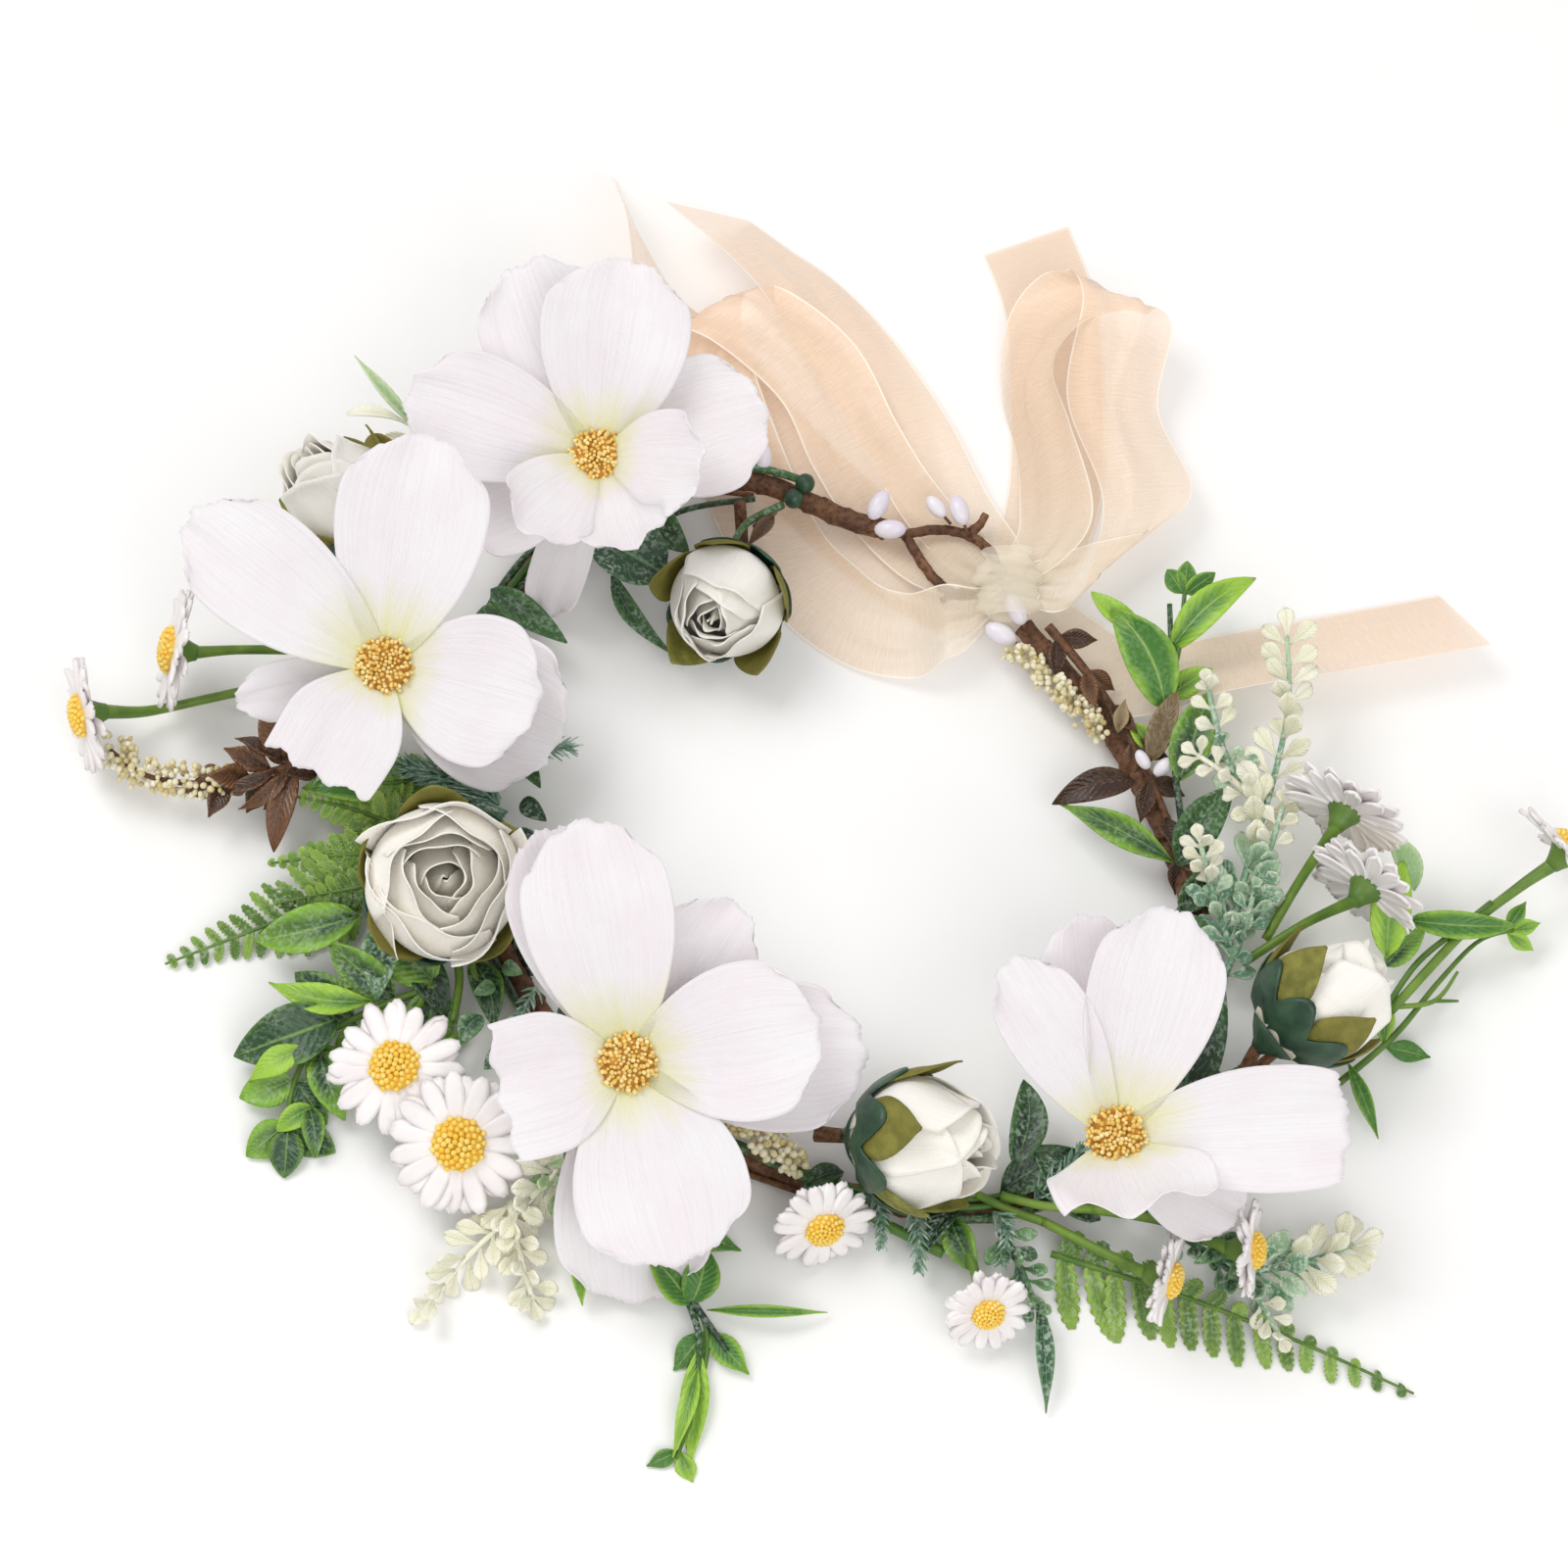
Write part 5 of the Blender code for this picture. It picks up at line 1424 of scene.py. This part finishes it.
def arched_leaf(shape, base, tip, width, outline, draw):
    """A leaf from base to tip that arches up between the two."""
    base, tip = Vector(base), Vector(tip)
    way = (tip - base).normalized()
    reach = (tip - base).length
    face = (UP + Vector((draw.uniform(-0.35, 0.35), draw.uniform(-0.6, 0.1), 0))).normalized()
    side = way.cross(face).normalized()
    normal = side.cross(way)
    rows, columns = 12, 8
    grid = []
    roll = draw.uniform(-0.5, 0.5)
    tip_turn = draw.uniform(-0.10, 0.10)
    for r in range(rows + 1):
        u = r / rows
        arch = 4 * u * (1 - u) * LEAF_LIFT * reach
        centre = base + way * (reach * u) + normal * arch + side * (tip_turn * reach * u * (1 - u) * 4)
        half = width / 2 * max(OUTLINES[outline](u), 0.04)
        turn = roll * u
        wide = around(side, normal, turn)
        rise = around(normal, -side, turn)
        row = []
        for c in range(columns + 1):
            v = 2 * c / columns - 1
            row.append(centre + wide * (half * v) + rise * (half * 0.35 * abs(v) ** 1.3))
        grid.append(row)
    shape.grid(grid, tone=draw.random())


def build_loose_leaves():
    """The separate leaves, one piece for each kind."""
    draw = random.Random(23)
    kinds = {}
    for kind, outline, base, tip, width in LEAVES:
        shape = kinds.setdefault(kind, Shape())
        arched_leaf(shape, base, tip, width, outline, draw)
    for kind, shape in kinds.items():
        spray_piece("loose_leaves_" + kind, shape, [kind], LEAF_THICKNESS)


def build_stems():
    """The stems that show between the heads, and the pick stems bound along the hoop."""
    draw = random.Random(31)
    kinds = {}
    count = 20
    for kind, start, end, stations in STEMS:
        shape = kinds.setdefault(kind, Shape())
        radii = [start + (end - start) * (i / (count - 1)) ** 2 for i in range(count)]
        shape.tube(even_path(stations, count), radii, 9, tone=draw.random())
    hoop = even_path(HOOP_PATH, 200)
    ways = tangents(hoop)
    for first, last, kind in PICK_STEMS:
        shape = kinds.setdefault(kind, Shape())
        turn = draw.uniform(-0.4, math.pi + 0.4)
        low, high = int(first * 199), int(last * 199)
        path = []
        for index in range(low, high, 3):
            right, _, _ = axes_of(ways[index], Vector((ways[index].y, -ways[index].x, 0)))
            sway = turn + 0.6 * math.sin(index * 0.09 + turn)
            spread = PICK_OFFSET + PICK_SPREAD * smoothstep(0.75, 1.0, (index - low) / (high - low))
            spot = hoop[index] + (right * math.cos(sway) + UP * abs(math.sin(sway))) * spread
            path.append(Vector((spot.x, spot.y, max(spot.z, 1.2))))
        shape.tube(smooth_path(path, 3), draw.uniform(0.8, 1.15), 8, tone=draw.random())
    for kind, shape in kinds.items():
        piece = shape.build("stems_" + kind, [MAT[kind]])


def build_lavender():
    """The extra spikes of paddle-shaped florets."""
    draw = random.Random(41)
    kinds = ["cream_green", "cream", "leaf_pale", "leaf_frost"]
    count = 16
    radii = [0.8 - 0.4 * i / (count - 1) for i in range(count)]
    for name, spikes in LAVENDER.items():
        shape = Shape()
        for mats, length, width, pairs, stations in spikes:
            slots = tuple(kinds.index(m) for m in mats)
            paired_leaves(shape, stations, draw, pairs, length, width, 56, taper=0.75, spin=0.9,
                          slots=slots, pitch=0.25, bend=(-15, 15), **FLORETS)
            shape.tube(even_path(stations, count), radii, 6, slot=slots[0])
        spray_piece(name, shape, kinds, 0.55)


def build_plumes():
    """Frosted plumes and needle tufts."""
    draw = random.Random(43)
    shape = Shape()
    for length, count, stations in PLUMES:
        path = even_path(stations, 100)
        ways = tangents(path)
        shape.tube(path[::6], 0.5, 6)
        for k in range(count):
            index = int(99 * k / count)
            way = ways[index]
            side, up, _ = axes_of(way)
            turn = k * GOLDEN_ANGLE
            out = around(side, up, turn)
            reach = length * (1.0 - 0.6 * k / count) * draw.uniform(0.8, 1.1)
            tip = path[index] + (way * 0.75 + out * 0.65).normalized() * reach
            middle = path[index].lerp(tip, 0.5) + out * reach * 0.06
            shape.tube([path[index], middle, tip], [0.42, 0.36, 0.12], 5, tone=draw.random())
    piece = shape.build("frosted_plumes", [MAT["plume"]])


# White egg-shaped pips: centre, the way each points, and its length.
PIPS = [
    ((12, 93, 13), (0.5, 0.8, 0.3), 8.5), ((15, 87, 11), (0.95, -0.1, 0.2), 8.5),
    ((27, 93, 12), (-0.6, 0.7, 0.2), 7), ((33, 92, 12), (-0.3, 0.9, 0.2), 8.5),
    ((47, 62, 14), (-0.4, 0.85, 0.3), 8.5), ((43, 56, 12), (-0.85, 0.45, 0.2), 9),
    ((-18, 108, 12), (-0.1, 0.95, 0.3), 8), ((78, 20, 13), (-0.5, 0.8, 0.3), 5.5),
    ((83, 18, 13), (0.6, 0.5, 0.3), 6),
]
CLUSTER_BEADS = 120
CLUSTER_REACH = (9.5, 8.5, 7.5)
GREEN_BUDS = [(-7, 100, 12), (-10, 96, 11)]
ORANGE_BUD = (-121, 69, 14)
# Runs of crowded cream beads: stations, number, spread and bead size.
BEAD_RUNS = [
    ([(-153, 14, 12), (-166, 15, 12), (-176, 18, 12), (-183, 25, 11)], 230, 5.0, 1.0),
    ([(46, 52, 12), (56, 43, 11), (68, 29, 10)], 190, 3.8, 1.0),
    ([(-33, -70, 15), (-26, -76, 15)], 90, 4.6, 1.15), ([(-18, -82, 14), (-9, -88, 12)], 80, 4.2, 1.15),
    ([(62, -72, 12), (67, -62, 13)], 40, 2.5, 0.9),
]


def bead_run(shape, path, count, spread, size, draw):
    """Beads crowded round a path."""
    stations = even_path(path, 100)
    for index in range(count):
        spot = stations[int(99 * (index + 0.5) / count)]
        offset = Vector((draw.gauss(0, 1), draw.gauss(0, 1), draw.gauss(0, 1)))
        offset = offset.normalized() * spread * draw.uniform(0.55, 1.0)
        shape.bead(spot + offset, offset, size * draw.uniform(0.6, 1.1), size * 2 * draw.uniform(0.8, 1.1),
                   7, 4, tone=draw.random() ** 2)


def build_berries():
    """Cream bead clusters and the white egg-shaped pips on their wires."""
    draw = random.Random(11)
    shape = Shape()
    centre = middle_of("berry_cluster_front")
    for index in range(CLUSTER_BEADS):
        turn = index * GOLDEN_ANGLE
        level = 1 - 2 * (index + 0.5) / CLUSTER_BEADS
        ring = math.sqrt(1 - level * level)
        out = Vector((math.cos(turn) * ring, math.sin(turn) * ring, level))
        spot = centre + out * Vector(CLUSTER_REACH) * draw.uniform(0.8, 1.05)
        shape.bead(spot, out, draw.uniform(0.8, 1.4), draw.uniform(1.6, 2.6), 7, 4, tone=draw.random() ** 2)
    piece = shape.build("berry_cluster_beads", [MAT["berry"]])
    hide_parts("berry_cluster_front")
    shape = Shape()
    for stations, count, spread, size in BEAD_RUNS:
        bead_run(shape, stations, count, spread, size, draw)
    piece = shape.build("berry_beads", [MAT["berry"]])
    shape = Shape()
    for place, way, length in PIPS:
        way = Vector(way).normalized()
        place = Vector(place)
        shape.bead(place, way, length * 0.30, length, 12, 8)
        shape.tube([place - way * (length * 0.48), place - way * (length * 0.48 + 2.5)], 0.4, 6, slot=1)
    for place in GREEN_BUDS:
        shape.bead(place, (0.2, 0.3, 0.9), 2.6, 5.4, 12, 8, slot=2)
    shape.bead(ORANGE_BUD, (0.4, 0.5, 0.5), 1.6, 4.2, 10, 6, slot=3)
    piece = shape.build("pips", [MAT["pip"], MAT["tape"], MAT["calyx"], MAT["button"]])


# ---------------------------------------------------------------- stage

FLOOR_REACH = 3000       # from the middle of the floor to its edges
FLOOR_STEPS = 12


def build_floor():
    """The pale floor that the crown lies on."""
    places = [FLOOR_REACH * (2 * step / FLOOR_STEPS - 1) for step in range(FLOOR_STEPS + 1)]
    shape = Shape()
    shape.grid([[Vector((x, y, 0)) for x in places] for y in places])
    nodes = Nodes("floor_white")
    grain = nodes.noise(30.0, 2.0)
    colour = nodes.mix(nodes.ramp(grain, [(0.3, 0.0), (0.7, 1.0)]), srgb(250, 249, 248), srgb(252, 251, 250))
    return shape.build("floor", [nodes.finish(Base_Color=colour, Roughness=0.9)], rests=False)


def add_area_light(name, place, size, power):
    """A square soft light that looks at the centre of the head opening."""
    lamp = bpy.data.lights.new(name, "AREA")
    lamp.shape = "SQUARE"
    lamp.size = size
    lamp.energy = power
    made = bpy.data.objects.new(name, lamp)
    made.location = place
    made.rotation_euler = (-made.location).to_track_quat("-Z", "Y").to_euler()
    bpy.context.collection.objects.link(made)


WORLD_STRENGTH = 0.64
# Each light: name, place and size in metres, and power in watts.
LIGHTS = [("key", (-0.7, 0.5, 1.4), 0.8, 9.5), ("fill", (0.35, -0.85, 1.0), 0.9, 5.5)]
CAMERA_ELEVATION = math.radians(65)
CAMERA_DISTANCE = 1.11    # in metres, like the target
CAMERA_TARGET = Vector((-0.0125, 0.0193, 0.0))
CAMERA_LENS = 100.0


def build_camera():
    """The camera looks down on the crown from the front."""
    data = bpy.data.cameras.new("camera")
    data.lens = CAMERA_LENS
    camera = bpy.data.objects.new("camera", data)
    away = Vector((0, -math.cos(CAMERA_ELEVATION), math.sin(CAMERA_ELEVATION)))
    camera.location = CAMERA_TARGET + away * CAMERA_DISTANCE
    camera.rotation_euler = away.to_track_quat("Z", "Y").to_euler()
    bpy.context.collection.objects.link(camera)
    bpy.context.scene.camera = camera


def build_lights():
    """Even white surroundings, with a large key light from the upper left."""
    world = bpy.data.worlds.new("studio")
    world.use_nodes = True
    surroundings = world.node_tree.nodes["Background"].inputs
    surroundings["Color"].default_value = (1.0, 1.0, 1.0, 1.0)
    surroundings["Strength"].default_value = WORLD_STRENGTH
    bpy.context.scene.world = world
    for name, place, size, power in LIGHTS:
        add_area_light(name, place, size, power)
    bpy.context.scene.view_settings.view_transform = "Standard"


build_camera()
build_lights()
build_hoop()
for ribbon_name, ribbon_stations in RIBBONS.items():
    build_ribbon(ribbon_name, ribbon_stations)
build_knot()
for cosmos_label, cosmos_plan in COSMOS.items():
    build_cosmos(cosmos_label, cosmos_plan)
for bud_name, bud_plan in BUDS.items():
    build_bud(bud_name, bud_plan)
for daisy_name, daisy_plan in DAISIES.items():
    build_daisy(daisy_name, *daisy_plan)
build_foliage()
build_loose_leaves()
build_stems()
build_lavender()
build_plumes()
build_berries()
build_floor()
